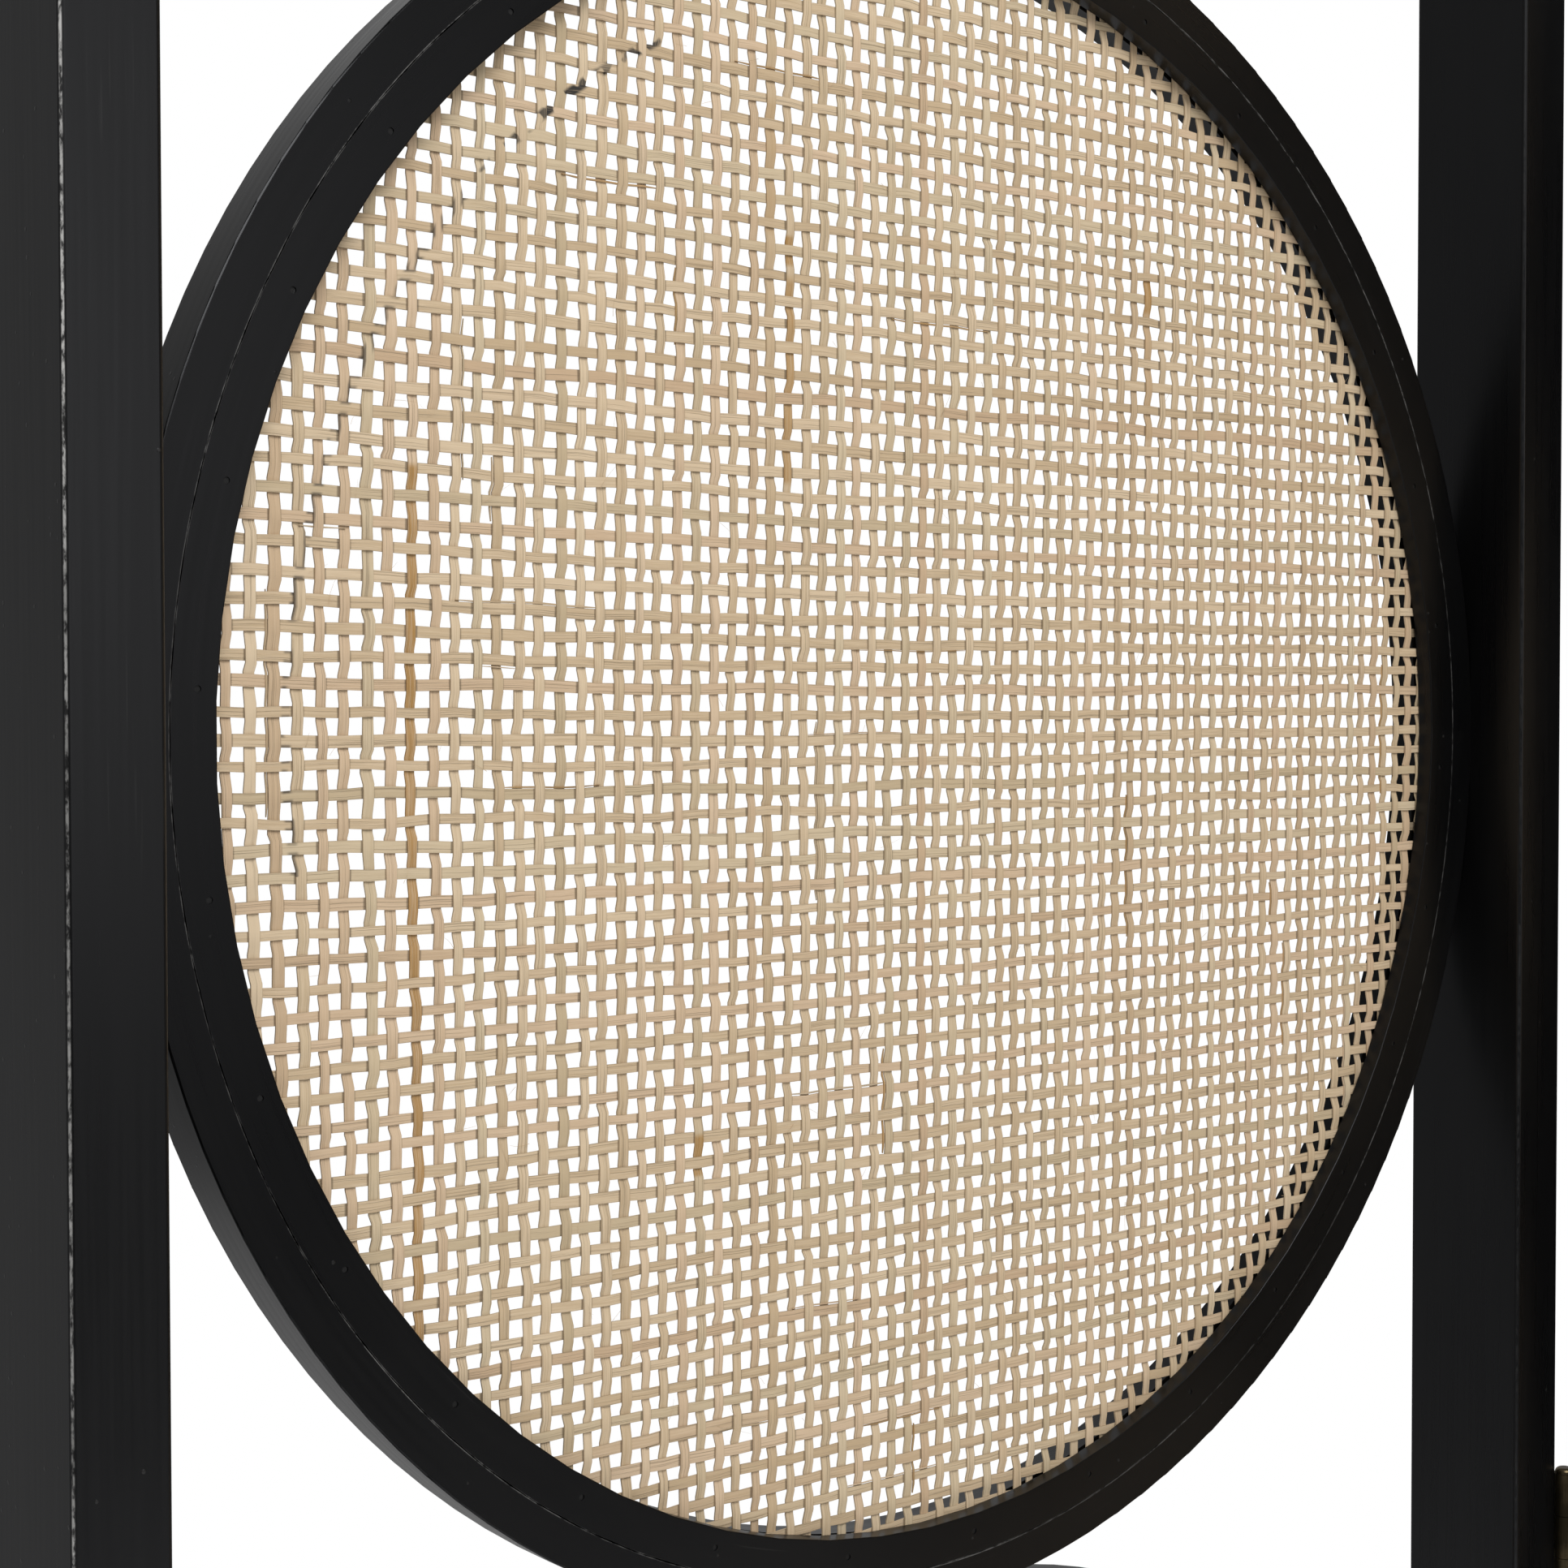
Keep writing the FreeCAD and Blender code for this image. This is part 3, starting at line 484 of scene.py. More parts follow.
def grow_hairs(weave, strands):
    """Fine hairs that stand off the weave."""
    cane, dice = weave.cane, weave.dice
    for _ in range(cane.hairs):
        turn = dice.uniform(0, 2 * math.pi)
        reach = weave.radius * HAIR_FIELD * math.sqrt(dice.random())
        root = Vector((reach * math.cos(turn), dice.choice((-1, -1, 1)) * HAIR_ROOT, reach * math.sin(turn)))
        lean = dice.uniform(0, 2 * math.pi)
        length = dice.uniform(*HAIR_LENGTH)
        way = Vector((math.cos(lean), dice.uniform(*HAIR_LEAN), math.sin(lean))) * length
        bend = Vector((dice.uniform(-1, 1), 0, dice.uniform(-1, 1))) * length * HAIR_BEND
        strands.hair(root, way, bend, dice.uniform(*HAIR_RADIUS), dice.random())


# Shader building

def feed(tree, socket, value):
    """Link another node's output to an input, or set a plain value on it."""
    if isinstance(value, bpy.types.NodeSocket):
        tree.links.new(value, socket)
    else:
        socket.default_value = value


def wire(tree, node, **inputs):
    """Feed a node's named inputs."""
    for name, value in inputs.items():
        feed(tree, node.inputs[name.replace("_", " ")], value)
    return node


def put(tree, kind, options=None, **inputs):
    """Add a node, set its options, and feed its named inputs."""
    node = tree.nodes.new(kind)
    for name, value in (options or {}).items():
        setattr(node, name, value)
    return wire(tree, node, **inputs)


def solve(tree, kind, operation, *values):
    """The outputs of a node that calculates, with its inputs fed in order."""
    node = put(tree, kind, {"operation": operation})
    for socket, value in zip(node.inputs, values):
        feed(tree, socket, value)
    return node.outputs


def calc(tree, operation, *values):
    """A Math node's result."""
    return solve(tree, "ShaderNodeMath", operation, *values)[0]


def times(tree, product, *others):
    """A product of values."""
    for other in others:
        product = calc(tree, "MULTIPLY", product, other)
    return product


def spread(tree, value, low, high, to_low=0.0, to_high=1.0):
    """A value eased from one range to another and held at its ends."""
    node = put(tree, "ShaderNodeMapRange", {"interpolation_type": "SMOOTHSTEP"}, Value=value,
               From_Min=low, From_Max=high, To_Min=to_low, To_Max=to_high)
    return node.outputs[0]


# Sockets of a Mix node for colours: its share, first and second colour, and its result
MIX_INPUTS = (0, 6, 7)
MIX_RESULT = 2


def tint(tree, share, first, second):
    """Two colours mixed by a share."""
    node = put(tree, "ShaderNodeMix", {"data_type": "RGBA"})
    for number, value in zip(MIX_INPUTS, (share, first, second)):
        feed(tree, node.inputs[number], value)
    return node.outputs[MIX_RESULT]


def stretch(tree, vector, x, y, z):
    """A vector with each part multiplied."""
    return solve(tree, "ShaderNodeVectorMath", "MULTIPLY", vector, (x, y, z))[0]


def split(tree, vector):
    """The three parts of a vector."""
    return put(tree, "ShaderNodeSeparateXYZ", Vector=vector).outputs


def join(tree, x, y, z=0.0):
    """A vector made of its parts."""
    return put(tree, "ShaderNodeCombineXYZ", X=x, Y=y, Z=z).outputs[0]


def span(tree, first, second):
    """Length of a vector that has two parts."""
    squares = [times(tree, part, part) for part in (first, second)]
    return calc(tree, "SQRT", calc(tree, "ADD", *squares))


def noise(tree, vector, scale=1.0, detail=2.0, roughness=0.5):
    """A noise value from 0 to 1."""
    node = put(tree, "ShaderNodeTexNoise", Vector=vector, Scale=scale, Detail=detail,
               Roughness=roughness)
    return node.outputs[0]


def nearest(tree, value, *levels):
    """Distance from a value to the nearest of some levels."""
    found = None
    for level in levels:
        gap = calc(tree, "ABSOLUTE", calc(tree, "SUBTRACT", value, level))
        found = gap if found is None else calc(tree, "MINIMUM", found, gap)
    return found


def opaque(parts):
    """A colour with its alpha."""
    return (*parts, 1.0)


# Kinds of sockets, and the outputs of a group that coats a surface
VECTOR = "NodeSocketVector"
VALUE = "NodeSocketFloat"
COLOUR = "NodeSocketColor"
COAT = {COLOUR: ["Color"], VALUE: ["Roughness", "Height"]}


def new_group(name, inputs, outputs):
    """An empty shader node group with named inputs and outputs."""
    tree = bpy.data.node_groups.new(name, "ShaderNodeTree")
    for way, sockets in (("INPUT", inputs), ("OUTPUT", outputs)):
        for kind, labels in sockets.items():
            for label in labels:
                tree.interface.new_socket(name=label, in_out=way, socket_type=kind)
    return tree, tree.nodes.new("NodeGroupInput").outputs, tree.nodes.new("NodeGroupOutput")


def use(tree, name, build, **inputs):
    """A group placed in a tree, with its inputs fed. It is built at its first use and then shared."""
    group = bpy.data.node_groups.get(name) or build(name)
    return put(tree, "ShaderNodeGroup", {"node_tree": group}, **inputs).outputs


# Radius at which a way round a hoop is measured
HOOP_RADIUS = 0.21

# Noise in cells per metre, along each axis where it is drawn out
WEAR_AND_HIGHLIGHT_PATCHES = 5.0
WEAR_AND_HIGHLIGHT_GRIT = 900.0
PAINT_GRAIN = (700.0, 700.0, 14.0)
PAINT_CLOUDS = (16.0, 16.0, 5.0)
PAINT_HAIRLINES = (1500.0, 1500.0, 22.0)
PAINT_SPECKS = 210.0
PATINA_BLOTS = 75.0
PATINA_LINES = (2600.0, 2600.0, 160.0)
PATINA_PITS = 900.0
DOWEL_GRAIN = 900.0
DOWEL_FLECKS = 1500.0
INK_BLOT = 300.0
INK_FADE = 110.0
FLOOR_MOTTLE = 7.0

# How much of its colour dust has on the paint
DUST_SHARE = 0.30

# Heights of relief, in metres
GRAIN_HEIGHT = 0.000005
SPECK_HEIGHT = 0.00006
DENT_HEIGHT = -0.000008
RUB_HEIGHT = 0.000004
PIT_HEIGHT = -0.00002
CROWN_HEIGHT = -0.00003
FIBRE_HEIGHT = 0.00005
GROOVE_HEIGHT = -0.00005
DOWEL_HEIGHT = 0.00002


def build_hoop_place(name):
    """Radius from the nearest hoop's middle, depth, and a place whose Z runs round the hoop."""
    tree, given, result = new_group(name, {VECTOR: ["Place"], VALUE: ["Foot", "Pitch"]},
                                    {VALUE: ["Radius", "Depth"], VECTOR: ["Round"]})
    parts = split(tree, given["Place"])
    level = calc(tree, "DIVIDE", calc(tree, "SUBTRACT", parts[2], given["Foot"]), given["Pitch"])
    height = times(tree, calc(tree, "SUBTRACT", calc(tree, "FRACT", level), 0.5), given["Pitch"])
    radius = span(tree, parts[0], height)
    # The seam of the turn lies where the hoop is glued to the right post
    turn = calc(tree, "ARCTAN2", height, times(tree, parts[0], -1.0))
    arc = calc(tree, "ADD", times(tree, turn, HOOP_RADIUS), calc(tree, "FLOOR", level))
    wire(tree, result, Radius=radius, Depth=parts[1], Round=join(tree, radius, parts[1], arc))
    return tree


def build_edge_wear_and_highlight(name):
    """Rubbed paint and a painted highlight where two faces meet, from the distances to both."""
    tree, given, result = new_group(
        name, {VECTOR: ["Place"], VALUE: ["First Gap", "Second Gap", "Crest", "Reach", "Amount"]},
        {VALUE: ["Wear"]})
    off = span(tree, given["First Gap"], given["Second Gap"])
    close = calc(tree, "SUBTRACT", 1.0, spread(tree, off, given["Crest"], given["Reach"]))
    patches = spread(tree, noise(tree, given["Place"], WEAR_AND_HIGHLIGHT_PATCHES, 4.0, 0.6), 0.38, 0.60, 0.20, 1.0)
    grit_place = stretch(tree, given["Place"], 1.0, 1.0, 0.45)
    grit = spread(tree, noise(tree, grit_place, WEAR_AND_HIGHLIGHT_GRIT, 3.0, 0.65), 0.36, 0.62, 0.05, 1.0)
    wire(tree, result, Wear=times(tree, close, patches, grit, given["Amount"]))
    return tree


def build_satin_paint(name):
    """Black satin paint on wood: faint grain along Z, fine scratches, dust specks and worn edges with a
    painted highlight.
    """
    tree, given, result = new_group(
        name, {VECTOR: ["Place"], COLOUR: ["Paint", "Bare", "Dust"], VALUE: ["Wear", "Satin"]}, COAT)
    place = given["Place"]
    grain = noise(tree, stretch(tree, place, *PAINT_GRAIN), 1.0, 3.0, 0.55)
    clouds = noise(tree, stretch(tree, place, *PAINT_CLOUDS), 1.0, 4.0, 0.6)
    hairline = spread(tree, noise(tree, stretch(tree, place, *PAINT_HAIRLINES), 1.0, 1.0), 0.70, 0.80)
    scratch = times(tree, hairline, spread(tree, clouds, 0.48, 0.66))
    cells = put(tree, "ShaderNodeTexVoronoi", {"feature": "F1"}, Vector=place, Scale=PAINT_SPECKS).outputs
    rare = split(tree, cells["Color"])
    specks = times(tree, spread(tree, cells["Distance"], 0.05, 0.11, 1.0, 0.0),
                   spread(tree, rare[0], 0.86, 0.92))
    paint = tint(tree, spread(tree, clouds, 0.30, 0.72, 0.0, 0.003), given["Paint"], given["Bare"])
    marks = times(tree, calc(tree, "ADD", specks, scratch), DUST_SHARE)
    dusted = tint(tree, marks, paint, given["Dust"])
    uneven = calc(tree, "ADD", spread(tree, grain, 0.25, 0.75, -0.03, 0.03),
                  spread(tree, clouds, 0.30, 0.70, -0.03, 0.03))
    rubbed = calc(tree, "MULTIPLY_ADD", given["Wear"], 0.12, calc(tree, "ADD", given["Satin"], uneven))
    raised = calc(tree, "MULTIPLY_ADD", grain, GRAIN_HEIGHT, times(tree, specks, SPECK_HEIGHT))
    dents = times(tree, spread(tree, clouds, 0.62, 0.70), DENT_HEIGHT)
    # Worn edges take the light grey, partly worn paint and partly painted highlight
    wire(tree, result, Color=tint(tree, given["Wear"], dusted, given["Bare"]), Roughness=rubbed,
         Height=calc(tree, "ADD", raised, dents))
    return tree


def build_patina(name):
    """Aged metal: dark tarnish that is rubbed back in places, with fine pits."""
    tree, given, result = new_group(
        name, {VECTOR: ["Place"], COLOUR: ["Rubbed", "Aged"], VALUE: ["Share"]}, COAT)
    blots = noise(tree, given["Place"], PATINA_BLOTS, 4.0, 0.55)
    lines = noise(tree, stretch(tree, given["Place"], *PATINA_LINES), 1.0, 2.0)
    bright = calc(tree, "ADD", blots, calc(tree, "SUBTRACT", given["Share"], 0.5))
    clean = calc(tree, "ADD", spread(tree, lines, 0.40, 0.70, -0.12, 0.12), spread(tree, bright, 0.34, 0.72))
    pits = spread(tree, noise(tree, given["Place"], PATINA_PITS, 2.0), 0.30, 0.42, PIT_HEIGHT, 0.0)
    wire(tree, result, Color=tint(tree, clean, given["Aged"], given["Rubbed"]),
         Roughness=spread(tree, clean, 0.0, 1.0, 0.52, 0.33),
         Height=calc(tree, "MULTIPLY_ADD", lines, RUB_HEIGHT, pits))
    return tree


def new_material(name):
    """A material with its node tree and shader."""
    material = bpy.data.materials.new(name)
    material.use_nodes = True
    tree = material.node_tree
    return material, tree, tree.nodes["Principled BSDF"]


def object_place(tree):
    """The object's own coordinates, which are the screen's in metres."""
    return put(tree, "ShaderNodeTexCoord").outputs["Object"]


def relief(tree, shader, height):
    """Bump the shader's normal by a height in metres."""
    bump = put(tree, "ShaderNodeBump", Strength=1.0, Distance=1.0, Height=height)
    wire(tree, shader, Normal=bump.outputs[0])


def finish_node(name, material):
    """Give a CAD node its material."""
    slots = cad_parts[name].data.materials
    slots.clear()
    slots.append(material)


# Fibres and grooves along and across a strand, and how far apart the patterns of two tones lie
FIBRES_ALONG = 70.0
FIBRES_ACROSS = 3.6
GROOVES_ALONG = 22.0
GROOVES_ACROSS = 6.0
TONES_APART = 61.0
HUES = 37.0
CANE_SHINE = 0.35
# Shares of the deep colour in a strand's sides (painted shade of its rounding) and grooves, and in the
# painted shade where it dips under another
SIDE_SHADE = 0.50
DIP_SHADE = 0.22


def cane_material(cane):
    """Split cane: long fibres, pale and deep strands, brown skin and marker dashes, with painted shade at
    strand sides and where strands dip under others.
    """
    material, tree, shader = new_material("woven_cane")
    read = {name: put(tree, "ShaderNodeAttribute", {"attribute_name": name}).outputs["Fac"]
            for name in Strands.NAMES}
    strand_place = join(tree, read["along"], read["across"], read["tone"])
    fibre_place = stretch(tree, strand_place, FIBRES_ALONG, FIBRES_ACROSS, TONES_APART)
    groove_place = stretch(tree, strand_place, GROOVES_ALONG, GROOVES_ACROSS, TONES_APART)
    fibres = noise(tree, fibre_place, 1.0, 5.0, 0.68)
    grooves = spread(tree, noise(tree, groove_place, 1.0, 2.0), 0.57, 0.70)
    shade = calc(tree, "MULTIPLY_ADD", calc(tree, "SUBTRACT", fibres, 0.5), 1.7, read["tone"])
    base = tint(tree, spread(tree, shade, 0.0, 1.0), opaque(cane.deep), opaque(cane.pale))
    hue = calc(tree, "FRACT", times(tree, read["tone"], HUES))
    rosy = tint(tree, spread(tree, hue, 0.70, 0.85, 0.0, 0.30), base, opaque(cane.rosy))
    grey = tint(tree, spread(tree, hue, 0.12, 0.24, 0.32, 0.0), rosy, opaque(cane.grey))
    # Painted shade: darker towards a strand's sides, as if from its rounding
    sides = spread(tree, calc(tree, "ABSOLUTE", read["across"]), 0.82, 1.0, 0.0, 0.30)
    darker = calc(tree, "MAXIMUM", sides, times(tree, grooves, 0.60))
    lined = tint(tree, darker, grey, opaque([part * SIDE_SHADE for part in cane.deep]))
    skinned = times(tree, spread(tree, read["skin"], 0.05, 0.60),
                    spread(tree, fibres, 0.34, 0.58, 0.35, 1.0))
    browned = tint(tree, skinned, lined, opaque(cane.skin))
    # Painted shade: darker where a strand dips under its neighbour
    shaded = tint(tree, spread(tree, read["grime"], 0.70, 1.0, 0.0, 0.72), browned,
                  opaque([part * DIP_SHADE for part in cane.deep]))
    inked = marker_dashes(tree, read, fibres)
    wire(tree, shader, Base_Color=tint(tree, inked, shaded, opaque(cane.ink)),
         Roughness=spread(tree, fibres, 0.25, 0.75, 0.56, 0.74), Specular_IOR_Level=CANE_SHINE)
    crown = times(tree, read["across"], read["across"], CROWN_HEIGHT)
    rough = calc(tree, "MULTIPLY_ADD", fibres, FIBRE_HEIGHT, times(tree, grooves, GROOVE_HEIGHT))
    relief(tree, shader, calc(tree, "ADD", crown, rough))
    return material


# Ring of marker dashes on a disc, the half widths of its core and of its whole, and the part of the turn
# from the left that has it
INK_RADIUS = 0.1807
INK_CORE = 0.00064
INK_SPREAD = 0.0016
INK_FROM = math.radians(-9)
INK_TO = math.radians(63)
# Turn above which the marker left blots in place of thin outlines
INK_BLOTS = math.radians(42)


def marker_dashes(tree, read, fibres):
    """Where the marker's ring crosses strands that took its ink."""
    across, up = read["disc_x"], read["disc_z"]
    off = nearest(tree, span(tree, across, up), INK_RADIUS)
    turn = calc(tree, "ARCTAN2", up, times(tree, across, -1.0))
    inside = times(tree, calc(tree, "GREATER_THAN", turn, INK_FROM), calc(tree, "LESS_THAN", turn, INK_TO))
    spot = join(tree, across, up)
    blots = spread(tree, noise(tree, spot, INK_BLOT, 0.6), 0.49, 0.57)
    rims = spread(tree, calc(tree, "ABSOLUTE", read["across"]), 0.30, 0.85, 0.0, 0.80)
    faded = times(tree, rims, spread(tree, noise(tree, spot, INK_FADE, 2.0), 0.36, 0.46))
    above = calc(tree, "GREATER_THAN", turn, INK_BLOTS)
    shape = calc(tree, "MULTIPLY_ADD", above, calc(tree, "SUBTRACT", blots, faded), faded)
    soaked = spread(tree, off, INK_CORE, INK_SPREAD, 1.0, 0.0)
    return times(tree, soaked, shape, inside, read["ink"], spread(tree, fibres, 0.32, 0.50, 0.45, 1.0))


def panel_axes(tree, panel):
    """Coordinates in a panel's own axes, from its middle on the floor."""
    back = panel_place(panel).inverted()
    turned = put(tree, "ShaderNodeMapping", {"vector_type": "POINT"}, Vector=object_place(tree),
                 Location=back.to_translation(), Rotation=back.to_euler())
    return turned.outputs[0]


def painted(tree, shader, wood, place, gaps, edge, amount, shine):
    """Feed a shader with satin paint: its grain runs along the place's Z, and it is worn at an edge, with a
    painted highlight there.
    """
    wear_and_highlight = use(tree, "edge_wear_and_highlight", build_edge_wear_and_highlight, Place=place, First_Gap=gaps[0], Second_Gap=gaps[1],
               Crest=edge[0], Reach=edge[1], Amount=amount)["Wear"]
    coat = use(tree, "satin_paint", build_satin_paint, Place=place, Paint=opaque(wood.paint),
               Bare=opaque(wood.bare), Dust=opaque(wood.dust), Wear=wear_and_highlight, Satin=wood.gloss)
    wire(tree, shader, Base_Color=coat["Color"], Roughness=coat["Roughness"], Specular_IOR_Level=shine,
         Specular_Tint=PAINT_SHEEN)
    relief(tree, shader, coat["Height"])


# Colour of the paint's sheen, and its strength on posts and rails and on hoops
PAINT_SHEEN = (0.95, 0.96, 1.0, 1.0)
POST_SHINE = 0.42
HOOP_SHINE = 0.30

# Share of the wear and painted highlight on the posts' inner edges, on rails and at the seam of hoop and ring
INNER_WEAR_AND_HIGHLIGHT = 0.03
RAIL_WEAR_AND_HIGHLIGHT = 0.5
SEAM_WEAR_AND_HIGHLIGHT = 0.25

# Sizes of the wood that its box doesn't give
POST_DEPTH = 0.0390
HOOP_SEAM = 0.20902
RING_THICKNESS = 0.0045

# Distance from an edge's corner to the top of its rounding, and how far wear and painted highlight reach from
# the corner
POST_EDGE = (0.00050, 0.00072)
SEAM_EDGE = (0.00014, 0.00032)


def post_material(wood, panel):
    """Painted post: grain upright, wear and painted highlight along its four long edges."""
    material, tree, shader = new_material(f"{panel}_post_paint")
    place = panel_axes(tree, panel)
    parts = split(tree, place)
    inner, outer = post_sides(panel)
    reach = calc(tree, "ABSOLUTE", parts[0])
    amount = spread(tree, reach, inner, outer, wood.wear_and_highlight * INNER_WEAR_AND_HIGHLIGHT, wood.wear_and_highlight)
    gaps = (nearest(tree, reach, inner, outer),
            nearest(tree, calc(tree, "ABSOLUTE", parts[1]), POST_DEPTH / 2))
    painted(tree, shader, wood, place, gaps, POST_EDGE, amount, POST_SHINE)
    return material


def post_sides(panel):
    """Distances from a panel's middle to the inner and outer sides of its posts."""
    middle_x = panel_point(panel, f"{panel}_right_post").x
    low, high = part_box(f"{panel}_hoop_1")
    inner = (high.z - low.z) / 2
    return inner, 2 * middle_x - inner


def rail_material(wood, panel):
    """Painted rail: grain along the panel, wear and painted highlight along its edges."""
    material, tree, shader = new_material(f"{panel}_rail_paint")
    place = panel_axes(tree, panel)
    parts = split(tree, place)
    levels = [corner.z for rail in ("bottom_rail", "top_rail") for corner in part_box(f"{panel}_{rail}")]
    along = join(tree, parts[2], parts[1], parts[0])
    gaps = (nearest(tree, parts[2], *levels),
            nearest(tree, calc(tree, "ABSOLUTE", parts[1]), POST_DEPTH / 2))
    painted(tree, shader, wood, along, gaps, POST_EDGE, wood.wear_and_highlight * RAIL_WEAR_AND_HIGHLIGHT, POST_SHINE)
    return material


def hoop_material(wood, panel):
    """Painted hoop and retaining ring: grain round the hoop, wear and painted highlight at the seam between
    them.
    """
    material, tree, shader = new_material(f"{panel}_hoop_paint")
    low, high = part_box(f"{panel}_hoop_1")
    pitch = middle(f"{panel}_hoop_2").z - middle(f"{panel}_hoop_1").z
    spot = use(tree, "hoop_place", build_hoop_place, Place=panel_axes(tree, panel),
               Foot=(low.z + high.z - pitch) / 2, Pitch=pitch)
    front = panel_point(panel, f"{panel}_retaining_rings").y - RING_THICKNESS / 2
    gaps = (nearest(tree, spot["Radius"], HOOP_SEAM), nearest(tree, spot["Depth"], front))
    painted(tree, shader, wood, spot["Round"], gaps, SEAM_EDGE, wood.wear_and_highlight * SEAM_WEAR_AND_HIGHLIGHT, HOOP_SHINE)
    return material


# Share of the metal that is rubbed clear of tarnish
LEAF_RUB = 0.45
PIN_RUB = 0.62
BRAD_RUB = 0.30
# Share of the dowels' colour in their dark grain
DOWEL_SHADE = 0.55


def metal_material(name, rubbed, aged, share, metallic):
    """Aged metal with tarnish, rub marks and pits."""
    material, tree, shader = new_material(name)
    coat = use(tree, "patina", build_patina, Place=object_place(tree), Rubbed=opaque(rubbed),
               Aged=opaque(aged), Share=share)
    wire(tree, shader, Base_Color=coat["Color"], Roughness=coat["Roughness"], Metallic=metallic)
    relief(tree, shader, coat["Height"])
    return material


def dowel_material(wood):
    """Bare turned dowel: straight grain and short dark flecks."""
    material, tree, shader = new_material("bare_dowel")
    place = object_place(tree)
    grain = noise(tree, place, DOWEL_GRAIN, 3.0)
    flecks = spread(tree, noise(tree, place, DOWEL_FLECKS, 1.0), 0.66, 0.74)
    pale = opaque(wood.dowel)
    dark = opaque([part * DOWEL_SHADE for part in wood.dowel])
    shaded = tint(tree, spread(tree, grain, 0.3, 0.7, 0.0, 0.5), pale, dark)
    wire(tree, shader, Base_Color=tint(tree, flecks, shaded, dark),
         Roughness=spread(tree, grain, 0.3, 0.7, 0.55, 0.70))
    relief(tree, shader, times(tree, grain, DOWEL_HEIGHT))
    return material


def add_piece(scene, name, mesh, material):
    """An object made of a bmesh, which is freed, and a material."""
    data = bpy.data.meshes.new(name)
    mesh.to_mesh(data)
    mesh.free()
    data.materials.append(material)
    piece = bpy.data.objects.new(name, data)
    scene.collection.objects.link(piece)
    return piece


# Operators

# Step between the seeds of two panels' weaves
SEED_STEP = 100


class PARTITION_OT_weave_cane(bpy.types.Operator):
    """Weave the discs of cane and put them in place of the CAD discs"""
    bl_idname = "partition.weave_cane"
    bl_label = "Weave cane"

    def execute(self, context):
        cane = context.scene.partition_cane
        material = cane_material(cane)
        for panel_number, panel in enumerate(PANELS):
            for hoop in HOOPS:
                node = f"{panel}_cane_{hoop}"
                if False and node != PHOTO_DISC:
                    continue
                mesh = weave_disc(node, cane, SEED_STEP * panel_number + hoop)
                turn = panel_place(panel).to_3x3().to_4x4()
                bmesh.ops.transform(mesh, matrix=Matrix.Translation(middle(node)) @ turn, verts=mesh.verts[:])
                piece = add_piece(context.scene, f"woven_{node}", mesh, material)
                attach(piece, panel)
                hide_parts(node)
        return {"FINISHED"}


class PARTITION_OT_finish_posts(bpy.types.Operator):
    """Paint the posts and rails"""
    bl_idname = "partition.finish_posts"
    bl_label = "Finish posts and rails"

    def execute(self, context):
        wood = context.scene.partition_wood
        for panel in PANELS:
            post = post_material(wood, panel)
            rail = rail_material(wood, panel)
            for side in ("left_post", "right_post"):
                finish_node(f"{panel}_{side}", post)
            for level in ("bottom_rail", "top_rail"):
                finish_node(f"{panel}_{level}", rail)
        return {"FINISHED"}


class PARTITION_OT_finish_hoops(bpy.types.Operator):
    """Paint the hoops and their retaining rings"""
    bl_idname = "partition.finish_hoops"
    bl_label = "Finish hoops and rings"

    def execute(self, context):
        wood = context.scene.partition_wood
        for panel in PANELS:
            hoop_paint = hoop_material(wood, panel)
            for hoop in HOOPS:
                finish_node(f"{panel}_hoop_{hoop}", hoop_paint)
            finish_node(f"{panel}_retaining_rings", hoop_paint)
        return {"FINISHED"}


class PARTITION_OT_finish_hinges(bpy.types.Operator):
    """Give the hinges' leaves, pins and screws their aged brass"""
    bl_idname = "partition.finish_hinges"
    bl_label = "Finish hinges"

    def execute(self, context):
        metal = context.scene.partition_metal
        leaf = metal_material("aged_brass_leaf", metal.brass, metal.tarnish, LEAF_RUB, 1.0)
        pin = metal_material("rubbed_brass_pin", metal.brass, metal.tarnish, PIN_RUB, 1.0)
        for hinge in HINGES:
            for group in ("outer_leaves", "inner_leaves"):
                finish_node(f"{hinge}_{group}", leaf)
            for group in ("outer_screws", "inner_screws", "pins"):
                finish_node(f"{hinge}_{group}", pin)
        return {"FINISHED"}


class PARTITION_OT_finish_fixings(bpy.types.Operator):
    """Give the brads their chipped black and the dowels their bare wood"""
    bl_idname = "partition.finish_fixings"
    bl_label = "Finish brads and dowels"

    def execute(self, context):
        metal = context.scene.partition_metal
        wood = context.scene.partition_wood
        brad = metal_material("blackened_brad", metal.steel, wood.paint, BRAD_RUB, 0.0)
        dowel = dowel_material(wood)
        for panel in PANELS:
            finish_node(f"{panel}_brads", brad)
            finish_node(f"{panel}_dowels", dowel)
        return {"FINISHED"}


class PARTITION_OT_set_stage(bpy.types.Operator):
    """Make the floor, the lights, the white surround and the camera"""
    bl_idname = "partition.set_stage"
    bl_label = "Set stage"

    def execute(self, context):
        scene = context.scene
        stage = scene.partition_stage
        lay_floor(scene, stage)
        hang_lamp(scene, stage)
        light_surround(scene, stage)
        place_camera(scene, stage)
        scene.view_settings.view_transform = "Standard"
        return {"FINISHED"}


# Place of the key lamp, the point it faces and the length of its side
KEY_PLACE = (0.1, -1.7, 3.0)
KEY_AIM = (-0.3, 0.0, 1.05)
KEY_SIZE = 1.6
# Sides of the floor, its depth under the feet, its mottle and gloss, and where its fade starts and ends
FLOOR_SIDES = 96
FLOOR_DROP = 0.0003
FLOOR_GREY = (0.5, 0.5, 0.5, 1)
FLOOR_ROUGHNESS = 0.75
FLOOR_SHINE = 0.2
FLOOR_FADE = (0.55, 0.97)
WHITE = (1, 1, 1, 1)
